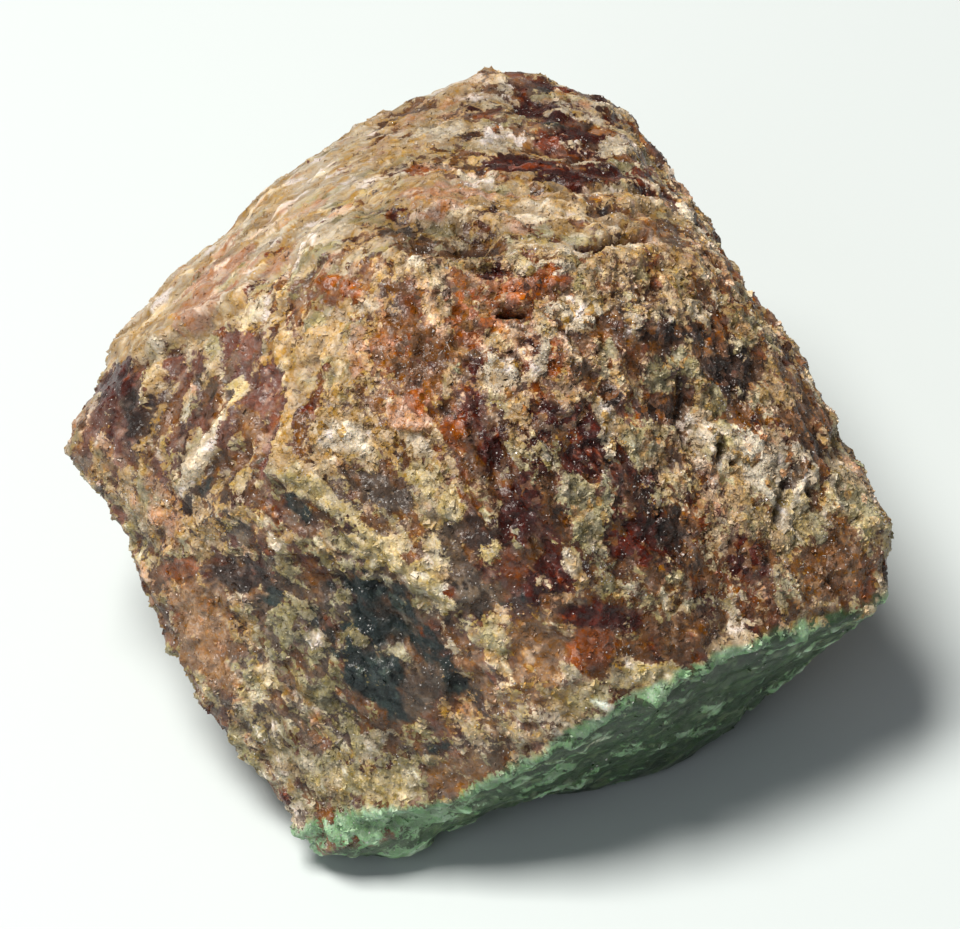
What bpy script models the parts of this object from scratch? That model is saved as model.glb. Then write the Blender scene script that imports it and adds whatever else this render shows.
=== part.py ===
"""A rough garnet crystal: one blocky, weathered crystal in a single piece, resting on its flattest side.

The block is the convex hull of its named corners. Shallow hollows are then cut where flakes have
broken away, the edges are worn round, and the faces are roughened by a slow ripple and a finer one.
"""

import bmesh
import bpy
from mathutils import Vector

MM = 0.001

# Driving dimensions, in millimetres.
CENTRE_SHIFT = (0.2, -4.35, 0.0)  # moves the block so that its box stands centred on the origin
EDGE_WEAR = 0.5  # width of the worn band along every long edge
SHARP_EDGE = 0.25  # edges that bend less than this many radians stay as they are
FACET = 1.15  # spacing of the surface points
RIPPLE = 1.1  # height of the slow unevenness of a broken face
RIPPLE_SIZE = 7.0
ROUGHNESS = 0.35  # height of the finer unevenness
ROUGHNESS_SIZE = 3.0
OUTWARD = 0.38  # share of the unevenness that lies inside the block; the rest stands out from it
SUNK_BASE = 0.45  # how far the roughened block is let into the plane that cuts its resting face
BASE_DEPTH = 10.0

# Corners of the block, in millimetres, before the shift. X is to the right, Y away, Z up.
CROWN = {
    "crown_left": (-7.5, 4.3, 25.2),
    "crown_middle": (-2.8, 2.5, 26.9),
    "crown_right": (5.7, 3.6, 25.9),
    "crown_end": (10.0, 5.5, 23.2),
}
FRONT = {
    "brow": (1.9, -7.3, 20.3),
    "left_knee": (-9.1, -5.2, 20.2),
    "vein_bend": (-1.4, -9.9, 16.1),
    "chin": (3.1, -13.0, 9.5),
    "chin_right": (6.6, -11.9, 10.7),
    "right_cheek": (12.3, -8.8, 11.9),
}
LEFT = {
    "left_tip": (-20.1, 3.7, 12.9),
    "left_tip_low": (-19.9, 3.2, 12.4),
    "left_tip_back": (-19.6, 6.0, 13.0),
    "left_flank": (-18.4, 1.4, 10.6),
    "left_waist": (-15.8, -4.0, 8.2),
    "left_shin": (-12.1, -8.2, 4.8),
    "slab_edge": (-12.1, 3.7, 21.6),
    "slab_edge_low": (-15.4, 4.6, 18.7),
}
BACK_RIM = {
    "rim_1": (-17.5, 10.6, 13.7),
    "rim_2": (-13.6, 14.1, 16.2),
    "rim_3": (-11.3, 15.9, 17.4),
    "rim_4": (-9.9, 16.7, 18.1),
    "rim_5": (-5.0, 19.8, 19.7),
    "rim_6": (-2.7, 21.0, 20.1),
    "rim_7": (0.0, 22.1, 20.5),
    "rim_8": (1.8, 22.4, 20.5),
    "rim_9": (6.2, 20.8, 19.9),
    "rim_10": (7.9, 19.1, 19.4),
}
RIGHT = {
    "right_neck": (10.3, 14.2, 18.8),
    "right_shoulder": (12.4, 11.0, 18.3),
    "right_slope": (14.2, 7.6, 17.8),
    "right_slope_low": (17.7, 1.8, 14.9),
    "right_tip": (19.5, -1.2, 13.0),
    "right_tip_low": (19.6, -3.7, 10.2),
    "right_heel": (18.8, -4.5, 9.8),
}
TOE = {
    "toe_side": (-9.0, -11.4, 2.4),
    "toe_left": (-7.9, -13.1, 2.0),
    "toe_tip": (-6.5, -12.8, 1.2),
    "toe_right": (-4.2, -12.4, 1.0),
}
UNDERSIDE = {
    "under_right_1": (17.7, -3.0, 6.5),
    "under_right_2": (15.9, -3.2, 3.2),
    "under_right_3": (12.8, -4.6, 0.9),
    "under_right_4": (17.0, 2.0, 6.0),
    "under_back_right": (15.5, 12.0, 9.0),
    "under_back": (8.0, 19.6, 10.0),
    "under_back_left": (-6.0, 18.6, 8.0),
    "under_left": (-15.6, 9.6, 6.0),
}
BASE = {
    "base_front_right": (9.4, -6.6, 0.0),
    "base_front": (1.0, -7.4, 0.0),
    "base_front_left": (-8.0, -5.5, 0.0),
    "base_left": (-11.0, 3.0, 0.0),
    "base_back_left": (-7.0, 11.0, 0.0),
    "base_back": (2.0, 14.0, 0.0),
    "base_back_right": (11.0, 10.0, 0.0),
    "base_right": (13.0, 1.0, 0.0),
}

# Hollows where flakes are missing: centre, half sizes and a turn about X, Y and Z in radians.
HOLLOWS = {
    "crown_hollow": ((-1.8, 5.2, 27.3), (4.6, 2.2, 2.4), (-0.3, 0.25, -0.25)),
    "left_notch": ((-19.6, 7.6, 17.1), (3.2, 2.6, 2.4), (0.0, -0.7, 0.5)),
    "waist_hollow": ((-19.2, -1.6, 8.6), (2.4, 4.2, 2.4), (0.3, 0.2, 0.6)),
    "foot_hollow": ((2.4, -12.4, -0.4), (6.6, 4.0, 2.4), (0.25, 0.0, 0.06)),
    "back_hollow": ((3.0, 22.6, 13.0), (8.0, 3.6, 3.4), (0.0, 0.1, -0.2)),
    "back_chip": ((-8.5, 20.3, 10.8), (4.2, 3.0, 3.6), (0.3, 0.1, 0.5)),
}

CRYSTAL_COLOUR = (0.30, 0.14, 0.06, 1.0)
CRYSTAL_GLOSS_ROUGHNESS = 0.5


def clear_scene():
    """Removes whatever the scene holds."""
    for thing in list(bpy.data.objects):
        bpy.data.objects.remove(thing, do_unlink=True)


def garnet_material():
    """Reddish-brown rough garnet."""
    material = bpy.data.materials.new("rough_garnet")
    material.use_nodes = True
    surface = material.node_tree.nodes["Principled BSDF"]
    surface.inputs["Base Color"].default_value = CRYSTAL_COLOUR
    surface.inputs["Roughness"].default_value = CRYSTAL_GLOSS_ROUGHNESS
    surface.inputs["Metallic"].default_value = 0.0
    return material


def add_mesh_object(name, shape):
    """Turns a bmesh into an object of the scene."""
    mesh = bpy.data.meshes.new(name)
    shape.to_mesh(mesh)
    shape.free()
    thing = bpy.data.objects.new(name, mesh)
    bpy.context.scene.collection.objects.link(thing)
    return thing


def block(name, corner_groups):
    """The convex hull of every corner in the groups, shifted over the origin."""
    shape = bmesh.new()
    for group in corner_groups:
        for corner in group.values():
            shape.verts.new((Vector(corner) + Vector(CENTRE_SHIFT)) * MM)
    hull = bmesh.ops.convex_hull(shape, input=shape.verts)
    inside = [e for e in hull["geom_interior"] if isinstance(e, bmesh.types.BMVert)]
    bmesh.ops.delete(shape, geom=inside, context="VERTS")
    bmesh.ops.recalc_face_normals(shape, faces=shape.faces)
    return add_mesh_object(name, shape)


def make_cutter(thing):
    """Keeps an object out of the solid: it only cuts."""
    thing.hide_render = True
    thing.display_type = "WIRE"
    return thing


def hollow(name, centre, half_sizes, turn):
    """A rounded lump that scoops a hollow out of the block."""
    shape = bmesh.new()
    bmesh.ops.create_icosphere(shape, subdivisions=3, radius=MM)
    thing = add_mesh_object(name, shape)
    thing.location = (Vector(centre) + Vector(CENTRE_SHIFT)) * MM
    thing.scale = half_sizes
    thing.rotation_euler = turn
    return make_cutter(thing)


def ground(name):
    """A box whose top is the plane that the crystal rests on."""
    shape = bmesh.new()
    bmesh.ops.create_cube(shape, size=1.0)
    bmesh.ops.scale(shape, vec=(0.1, 0.1, BASE_DEPTH * MM), verts=shape.verts)
    bmesh.ops.translate(shape, vec=(0.0, 0.0, -BASE_DEPTH * MM / 2), verts=shape.verts)
    return make_cutter(add_mesh_object(name, shape))


def cut(thing, cutter):
    """Cuts one object out of another."""
    modifier = thing.modifiers.new(cutter.name, "BOOLEAN")
    modifier.operation = "DIFFERENCE"
    modifier.solver = "EXACT"
    modifier.object = cutter


def wear_edges(thing):
    """Rounds every edge that bends enough to have been knocked."""
    modifier = thing.modifiers.new("worn_edges", "BEVEL")
    modifier.width = EDGE_WEAR * MM
    modifier.segments = 2
    modifier.limit_method = "ANGLE"
    modifier.angle_limit = SHARP_EDGE


def even_out(thing):
    """Rebuilds the surface from small facets of one size."""
    modifier = thing.modifiers.new("even_facets", "REMESH")
    modifier.mode = "VOXEL"
    modifier.voxel_size = FACET * MM
    modifier.adaptivity = 0.0


def soften(thing):
    """Smooths the steps that the even facets leave along slanting faces."""
    modifier = thing.modifiers.new("softened_steps", "SMOOTH")
    modifier.factor = 0.5
    modifier.iterations = 2


def roughen(thing, name, height, size):
    """Moves the surface in and out along its normal by a cloudy pattern."""
    pattern = bpy.data.textures.new(name, "CLOUDS")
    pattern.noise_scale = size * MM
    pattern.noise_depth = 1
    pattern.noise_basis = "IMPROVED_PERLIN"
    modifier = thing.modifiers.new(name, "DISPLACE")
    modifier.texture = pattern
    modifier.texture_coords = "LOCAL"
    modifier.direction = "NORMAL"
    modifier.strength = height * MM
    modifier.mid_level = OUTWARD


def garnet_crystal():
    """The whole crystal, in one piece."""
    groups = (CROWN, FRONT, LEFT, BACK_RIM, RIGHT, TOE, UNDERSIDE, BASE)
    crystal = block("garnet_crystal", groups)
    crystal.location.z = -SUNK_BASE * MM
    crystal.data.materials.append(garnet_material())
    for name, (centre, half_sizes, turn) in HOLLOWS.items():
        cut(crystal, hollow(name, centre, half_sizes, turn))
    wear_edges(crystal)
    even_out(crystal)
    soften(crystal)
    roughen(crystal, "broken_face_ripple", RIPPLE, RIPPLE_SIZE)
    roughen(crystal, "grainy_skin", ROUGHNESS, ROUGHNESS_SIZE)
    cut(crystal, ground("resting_plane"))
    return crystal


clear_scene()
garnet_crystal()
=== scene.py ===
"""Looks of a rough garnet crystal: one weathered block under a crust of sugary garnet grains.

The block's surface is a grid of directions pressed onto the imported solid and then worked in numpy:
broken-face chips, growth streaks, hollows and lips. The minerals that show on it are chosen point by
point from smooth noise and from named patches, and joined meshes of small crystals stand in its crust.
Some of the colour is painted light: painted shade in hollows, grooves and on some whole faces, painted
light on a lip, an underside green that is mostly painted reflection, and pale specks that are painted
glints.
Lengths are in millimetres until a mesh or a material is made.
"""

import math

import bpy
import numpy as np
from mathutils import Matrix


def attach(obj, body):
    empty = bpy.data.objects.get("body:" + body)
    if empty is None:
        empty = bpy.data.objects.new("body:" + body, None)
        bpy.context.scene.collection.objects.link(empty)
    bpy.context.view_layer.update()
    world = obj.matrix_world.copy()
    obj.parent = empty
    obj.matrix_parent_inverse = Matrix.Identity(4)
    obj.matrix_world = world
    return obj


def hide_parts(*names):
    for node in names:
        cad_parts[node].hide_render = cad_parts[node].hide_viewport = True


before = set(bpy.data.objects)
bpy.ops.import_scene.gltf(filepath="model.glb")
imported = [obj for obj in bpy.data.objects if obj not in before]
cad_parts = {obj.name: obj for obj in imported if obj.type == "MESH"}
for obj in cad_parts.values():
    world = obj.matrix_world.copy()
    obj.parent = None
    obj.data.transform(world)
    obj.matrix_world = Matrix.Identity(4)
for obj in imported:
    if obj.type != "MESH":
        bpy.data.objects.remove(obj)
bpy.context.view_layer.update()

MM = 0.001

# The view: a long lens looking down at the broad front face.
VIEW_ELEVATION = math.radians(46.0)
VIEW_DISTANCE = 300.0
PICTURE_WIDTH, PICTURE_HEIGHT = 960, 929
MM_PER_PIXEL = 0.0482  # at the point looked at
SENSOR_WIDTH = 36.0
LOOK_AT = np.array([0.2, -2.85, 13.05])
RIGHT = np.array([1.0, 0.0, 0.0])
UP = np.array([0.0, math.sin(VIEW_ELEVATION), math.cos(VIEW_ELEVATION)])
TO_CAMERA = np.array([0.0, -math.cos(VIEW_ELEVATION), math.sin(VIEW_ELEVATION)])
CLIP_DISTANCES = (10.0, 20000.0)

# The surface point seen at a picture point.
LEAST_FACING = 0.04  # share of its outward direction that points to the camera, for a point to be seen
SEAT_PIXELS = 8.0  # how far from the picture point it may be
SEAT_CHOICES = 20  # how many of the nearest points are tried where none is that close
SEAT_DEPTH = 2.0  # how far it may lie behind the foremost of the points tried

# The block's surface grid.
GRID_STEPS = 126  # along each of the six sides, so that the block stays under 200,000 triangles
FRONT_BIAS = 0.3  # leans the grid's directions forwards, so that its steps are finest in front
BLOCK_CENTRE = np.array([0.0, 0.0, 12.0])
REACH = 45.0  # radius of the shell that is pressed inwards onto the solid
SMOOTHING_STEPS, SMOOTHING_FACTOR = 3, 0.5
MAP_MARGIN = 0.01  # left free round each side's square on the map
REST_BAND = (0.1, 1.4)  # heights between which the relief grows from nothing above the resting face

# Faces of the crystal: outward direction, the direction that its growth streaks run along, how far
# they are stretched, the rise of its ribs, how strongly it is chipped, and how sugary it is.
FACES = {
    "broad_front": ((0.14, -0.51, 0.85), 0.50 * RIGHT - 0.87 * UP, 2.2, 0.12, 1.0, 1.0),
    "right_front": ((0.48, -0.55, 0.70), 0.42 * RIGHT - 0.91 * UP, 2.2, 0.14, 1.0, 1.0),
    "chin": ((0.09, -0.88, 0.47), 0.60 * RIGHT - 0.80 * UP, 1.6, 0.07, 0.4, 0.40),
    "left": ((-0.68, -0.38, 0.63), 0.38 * RIGHT + 0.92 * UP, 2.4, 0.13, 0.9, 0.45),
    "low_front": ((-0.42, -0.84, 0.35), 0.77 * RIGHT - 0.64 * UP, 1.4, 0.08, 0.8, 0.7),
    "slab": ((-0.58, 0.28, 0.77), 0.75 * RIGHT + 0.66 * UP, 2.0, 0.04, 0.35, 0.15),
    "top": ((0.12, 0.25, 0.96), RIGHT, 2.6, 0.10, 0.9, 0.45),
    "right": ((0.90, 0.10, 0.42), 0.50 * RIGHT - 0.87 * UP, 2.6, 0.18, 1.0, 0.8),
    "back": ((0.10, 0.85, -0.50), RIGHT, 2.6, 0.18, 1.0, 0.8),
    "under_front": ((0.46, -0.85, -0.22), RIGHT, 2.0, 0.05, 0.4, 0.05),
    "under_left": ((-0.80, 0.20, -0.55), UP, 2.0, 0.15, 0.9, 0.8),
    "under_right": ((0.75, 0.20, -0.60), UP, 2.0, 0.15, 0.9, 0.8),
}
RIB_RISE, CHIPPING, SUGARINESS = 3, 4, 5  # columns of the table above
FACE_SHARPNESS = 14  # how sharply one face gives way to the next
LEAST_SHARE = 0.02  # the share of a point that a face needs for its pattern to be worked out there

# Where the random patterns start, so that every run makes the same crystal.
SEEDS = {
    "chunks": 31,
    "ribs": 71,
    "roughness": 91,
    "dent_edges": 101,
    "crumbs": 121,
    "cover": 190,
    "minerals": 200,
    "patch_edges": 401,
    "patch_outlines": 411,
    "patch_chunks": 421,
    "pick": 501,
    "tone": 601,
    "chips": 700,
    "sugar_grains": 900,
    "glass_grains": 950,
    "specks": 960,
    "speck_clouds": 971,
}
MINERAL_SEED_STEP = 17
SEED_SHIFT = 17.31  # how many cells lie between the places where clouds of seeds in a row are read
BEYOND_BOXES = 9.0  # more than the squared distance, in boxes, from any point to its nearest seat
CLOUD_GAIN = 1.7  # brings a cloud to about -1 to 1
LAYERS_HEIGHT = 1.6  # height of three layered clouds against one

# Minerals, either smooth glass or granular crust: colours from common to rare, and how much each
# shows where no face, region or patch says otherwise.
GLASS = {
    "wine": (("#522016", "#3A1510", "#74341A", "#280F0C"), 0.15),
    "cinnamon": (("#94501F", "#7A3E16", "#AE6C2A", "#582C10"), -0.05),
    "brown": (("#7A502C", "#603E22", "#94693E", "#422C1A"), 0.35),
    "umber": (("#3E2E27", "#2D211D", "#54423A", "#1E1715"), -0.30),
    "teal": (("#2F3A38", "#222B2B", "#434E48", "#191E1E"), -0.40),
    "smoky": (("#665444", "#504238", "#7E6C5A", "#3C322C"), 0.00),
    "honey": (("#94704E", "#7C5A3C", "#AC8C6A", "#5C4430"), 0.00),
    "plum": (("#7C5446", "#664238", "#94705F", "#4C302A"), -0.10),
    # The underside's dark green: its darkness is painted shade, and its green is mostly painted reflection
    # of a coloured backdrop, partly the stone's own colour.
    "olive_painted_shade_and_reflection": (("#465A3E", "#364A32", "#627454", "#283624"), -1.00),
}
CRUST = {
    "sugar": (("#B29468", "#9E7E50", "#CAB28C", "#84663E"), 0.35),
    "pink": (("#B88C6E", "#A07252", "#D2B298", "#885C44"), 0.00),
    "ochre": (("#C2AE84", "#AB9768", "#D8CCB2", "#8E7D58"), 0.00),
    "cream": (("#CABBA2", "#B4A288", "#DCCEC6", "#A49076"), 0.05),
    "khaki": (("#9A8F6A", "#837856", "#B4AB8A", "#665D44"), 0.12),
    "mint": (("#B6BEA4", "#A0AA8E", "#D0D6C4", "#889478"), -1.00),
    # The underside's paler green, and its rim: mostly painted reflection of a coloured backdrop, partly the
    # stone's own colour.
    "moss_painted_reflection": (("#84A27E", "#6E8C68", "#9EBA98", "#5A7654"), -1.00),
}
COLOUR_LIMITS = (0.42, 0.70, 0.88)  # between a mineral's four colours, as a pick from 0 to 1 runs
BLEND_SHARPNESS = 7.0
LEFT_OUT = -9.0  # a strength at which a mineral doesn't show
CLOUD_SIZES = (3.0, 1.2)  # of the soft mottling, coarse to fine
CHUNK_SIZES = (1.3, 0.70, 0.42)  # of the crystals grown together, each of one mineral
CHUNK_STRETCH = 2.0  # the most that a chunk is stretched along the streaks
PATTERN_SHARES = (0.30, 0.40, 0.40, 0.50, 0.25)  # of the two clouds, then of the three chunk sizes
TONE_SHARES = (0.08, 0.16, 0.12, 0.16, 0.12)
COVER_SHARES = (0.15, 0.40, 0.30, 0.40, 0.15)
EDGE_SHARES = (0.0, 0.0, 0.15, 0.30, 0.20)
PICK_SHARES = (0.0, 0.0, 0.2, 0.5, 0.3)
COVER_LEVEL = 0.50  # the crust's cover before anything is added to it
COVER_LIMITS = (-0.4, 1.3)
PATCH_RAGGEDNESS = 0.5
PATCH_EDGE_SIZE, PATCH_OUTLINE_SIZE = 0.9, 2.6
PATCH_STRENGTH = 1.15  # what a patch adds to its mineral
PATCH_CRUSTED, PATCH_BARED = 0.45, -0.55  # what it adds to the cover, of a crust or of a glass
DEPTH_REACH = 3.0  # how far an oval reaches in depth, against its half length

# Shares of an oval's or a seam's size between which it fades from all to nothing.
REGION_FADE = (0.5, 1.4)
PATCH_FADE = (0.75, 1.25)
SEAM_FADE = (0.6, 1.3)
DENT_FADE = (0.45, 1.2)

# What some faces add to each mineral, to the crust's cover and to the tone. Their tones are painted
# shade: the underside, which lies in shade, and the slab and the top, which the key lamp lights
# strongly, are made darker.
FACE_MIXTURES = {
    "under_front": {"cover": -0.2, "olive_painted_shade_and_reflection": 3.6, "moss_painted_reflection": 2.4, "tone": -0.10},
    "slab": {"cover": 0.4, "cream": 0.4, "pink": 0.1, "tone": -0.26},
    "low_front": {"khaki": 0.35, "smoky": 0.4, "ochre": 0.15, "cinnamon": -0.4, "sugar": -0.2},
    "top": {"sugar": 0.2, "pink": 0.2, "tone": -0.22},
    "under_left": {"khaki": 0.3, "olive_painted_shade_and_reflection": 0.9, "moss_painted_reflection": 0.6},
    "under_right": {"khaki": 0.3, "olive_painted_shade_and_reflection": 0.9, "moss_painted_reflection": 0.6},
}

# Broad mixtures, each centred on a picture point: (x, y), (long, wide) in mm, lean in degrees
# anticlockwise from the picture's right, and what it adds to each mineral, to the cover and to the tone.
REGIONS = {
    "slab_band": ((215, 255), (16.0, 5.5), 42, {"cover": 0.5, "sugar": 0.6, "cream": 0.5, "pink": 0.3}),
    "slab_far": ((420, 125), (7.0, 4.0), 25, {"cover": 0.2, "sugar": 0.4, "brown": 0.5, "tone": -0.10}),
    # The top's end and shelf: their dark tone is painted shade, on a face that the key lamp lights
    # strongly.
    "top_end": ((545, 125), (10.0, 5.0), 0, {"cover": 0.0, "cream": 0.3, "wine": 0.5, "tone": -0.15}),
    "top_shelf": ((520, 205), (14.0, 3.2), 0, {"cover": 0.3, "sugar": 0.6, "pink": 0.4, "tone": -0.05}),
    "shelf_right": ((650, 225), (6.0, 4.0), -20, {"cover": 0.1, "sugar": 0.4, "pink": 0.3, "brown": 0.4}),
    # The hollow's dark tone is painted shade in its groove.
    "hollow": ((440, 235), (6.0, 2.8), -12, {"cover": -0.25, "brown": 0.6, "khaki": 0.4, "tone": -0.40}),
    "warm_crown": (
        (430, 310),
        (11.0, 4.5),
        0,
        {"pink": 0.4, "cinnamon": 0.6, "honey": 0.5, "sugar": 0.4, "tone": 0.05},
    ),
    "pink_centre": (
        (400, 375),
        (8.0, 5.0),
        0,
        {"pink": 0.4, "sugar": 0.3, "cinnamon": 0.4, "brown": 0.6, "tone": 0.12},
    ),
    "knee": (
        (330, 350),
        (4.0, 6.0),
        0,
        {"cover": 0.3, "sugar": 0.5, "khaki": 0.5, "cream": 0.2, "tone": -0.06},
    ),
    "pink_low": ((350, 435), (6.0, 2.4), 0, {"cover": 0.3, "cream": 0.4, "sugar": 0.4}),
    "mixed_centre": ((530, 380), (6.0, 4.0), 0, {"sugar": 0.4, "cream": 0.4, "pink": 0.3}),
    "wine_centre": (
        (545, 500),
        (10.0, 6.5),
        -60,
        {"cover": -0.1, "wine": 0.5, "brown": 0.3, "khaki": 0.3},
    ),
    "gold_brow": (
        (635, 280),
        (6.5, 3.6),
        0,
        {"cover": 0.15, "sugar": 0.6, "honey": 0.4, "cinnamon": 0.4},
    ),
    "shoulder": ((710, 365), (7.0, 6.5), -50, {"umber": 0.6, "khaki": 0.5, "brown": 0.3, "cream": 0.1}),
    "cheek": (
        (650, 520),
        (7.0, 5.0),
        -30,
        {"cover": -0.25, "umber": 0.5, "wine": 0.6, "khaki": 0.2, "tone": -0.15},
    ),
    "cheek_low": ((660, 590), (9.0, 4.0), 0, {"cover": 0.0, "khaki": 0.5, "brown": 0.4, "umber": 0.3}),
    "far_right": (
        (810, 530),
        (7.0, 7.0),
        -50,
        {"cover": 0.1, "khaki": 0.5, "brown": 0.5, "honey": 0.5, "ochre": 0.3},
    ),
    "corner": ((830, 575), (5.0, 4.0), 0, {"cover": 0.05, "ochre": 0.4, "honey": 0.7, "sugar": 0.2}),
    # The left face's dark tone is painted shade, on a face that the key lamp lights strongly; the pale
    # band's tone below keeps its vein out of that painted shade.
    "left_face": (
        (170, 420),
        (8.0, 7.0),
        0,
        {"cover": -0.2, "plum": 0.9, "smoky": 0.3, "umber": 0.3, "cinnamon": -0.6, "tone": -0.28},
    ),
    "left_pale": ((213, 432), (6.0, 1.0), 62, {"cover": 0.2, "tone": 0.30}),
    # Painted light on the lip, which catches the lamp.
    "lip_painted_light": ((525, 290), (4.6, 2.0), 0, {"tone": 0.12}),
    "cap_ground": ((732, 446), (4.6, 2.6), -10, {"cover": 0.3, "cream": 0.7, "tone": 0.08}),
    "chip_shade": ((335, 290), (2.2, 2.2), 0, {"honey": 0.5, "tone": -0.15}),
    "left_tip": ((115, 400), (3.6, 5.0), 0, {"cover": -0.3, "umber": 0.5, "wine": 0.5, "cinnamon": -0.3}),
    "left_edge": ((150, 490), (8.0, 3.4), -50, {"cover": 0.3, "sugar": 0.5, "pink": 0.6}),
    "low_teal": (
        (345, 640),
        (9.0, 8.0),
        -40,
        {"cover": -0.15, "teal": 0.8, "smoky": 0.5, "khaki": 0.6, "tone": -0.14},
    ),
    "low_ochre": ((330, 765), (11.0, 5.0), 10, {"cover": 0.1, "khaki": 0.4, "ochre": 0.4, "brown": 0.3}),
    "low_violet": ((265, 575), (6.4, 2.2), 0, {"cover": -0.3, "umber": 0.7, "wine": 0.3, "brown": 0.3}),
    "left_rim": ((200, 630), (3.0, 5.5), 20, {"cover": -0.2, "pink": 0.7, "honey": 0.9, "tone": 0.14}),
    "chin": ((515, 668), (6.5, 4.5), 20, {"cover": 0.0, "honey": 0.8, "sugar": 0.6, "tone": 0.25}),
    "orange_glow": ((592, 648), (2.2, 1.9), 30, {"cover": -0.9, "cinnamon": 2.4, "tone": -0.15}),
    "orange_dark": ((588, 616), (3.0, 1.0), -10, {"cover": -0.7, "wine": 1.5, "tone": -0.10}),
    "khaki_ground": ((598, 515), (3.4, 3.6), 0, {"cover": 0.25, "khaki": 0.5, "tone": 0.14}),
    "grey_fall": (
        (390, 502),
        (5.0, 2.4),
        -30,
        {"cover": -0.15, "smoky": 0.4, "brown": 0.2, "tone": -0.12},
    ),
    "red_low": (
        (660, 638),
        (4.4, 2.2),
        -15,
        {"cover": -0.3, "wine": 0.6, "cinnamon": 0.6, "tone": -0.15},
    ),
    # A dark band of wine colour, partly painted shade on the riser of a growth step.
    "end_band": ((600, 174), (5.6, 0.9), 8, {"cover": -0.4, "wine": 0.9, "umber": 0.4, "tone": -0.2}),
    "ring_ground": ((790, 480), (2.6, 3.2), 0, {"cover": 0.3, "cream": 0.9, "smoky": 0.4}),
    # The underside: its green is mostly painted reflection of a coloured backdrop, partly the stone's own
    # colour; its dark tone is painted shade, and the paler toe and rim are painted reflected light.
    "toe": ((365, 838), (9.0, 2.9), 12, {"cover": 0.4, "moss_painted_reflection": 5.5, "tone": 0.20}),
    "under_dark": ((700, 715), (12.0, 4.0), 28, {"cover": -0.4, "olive_painted_shade_and_reflection": 3.0, "moss_painted_reflection": 1.0}),
    "under_mid": ((520, 800), (10.0, 2.0), 18, {"cover": -0.2, "olive_painted_shade_and_reflection": 3.0, "moss_painted_reflection": 2.2}),
    "rim": ((510, 795), (10.0, 1.2), 25, {"cover": 0.2, "moss_painted_reflection": 3.0, "tone": 0.15}),
}

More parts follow.
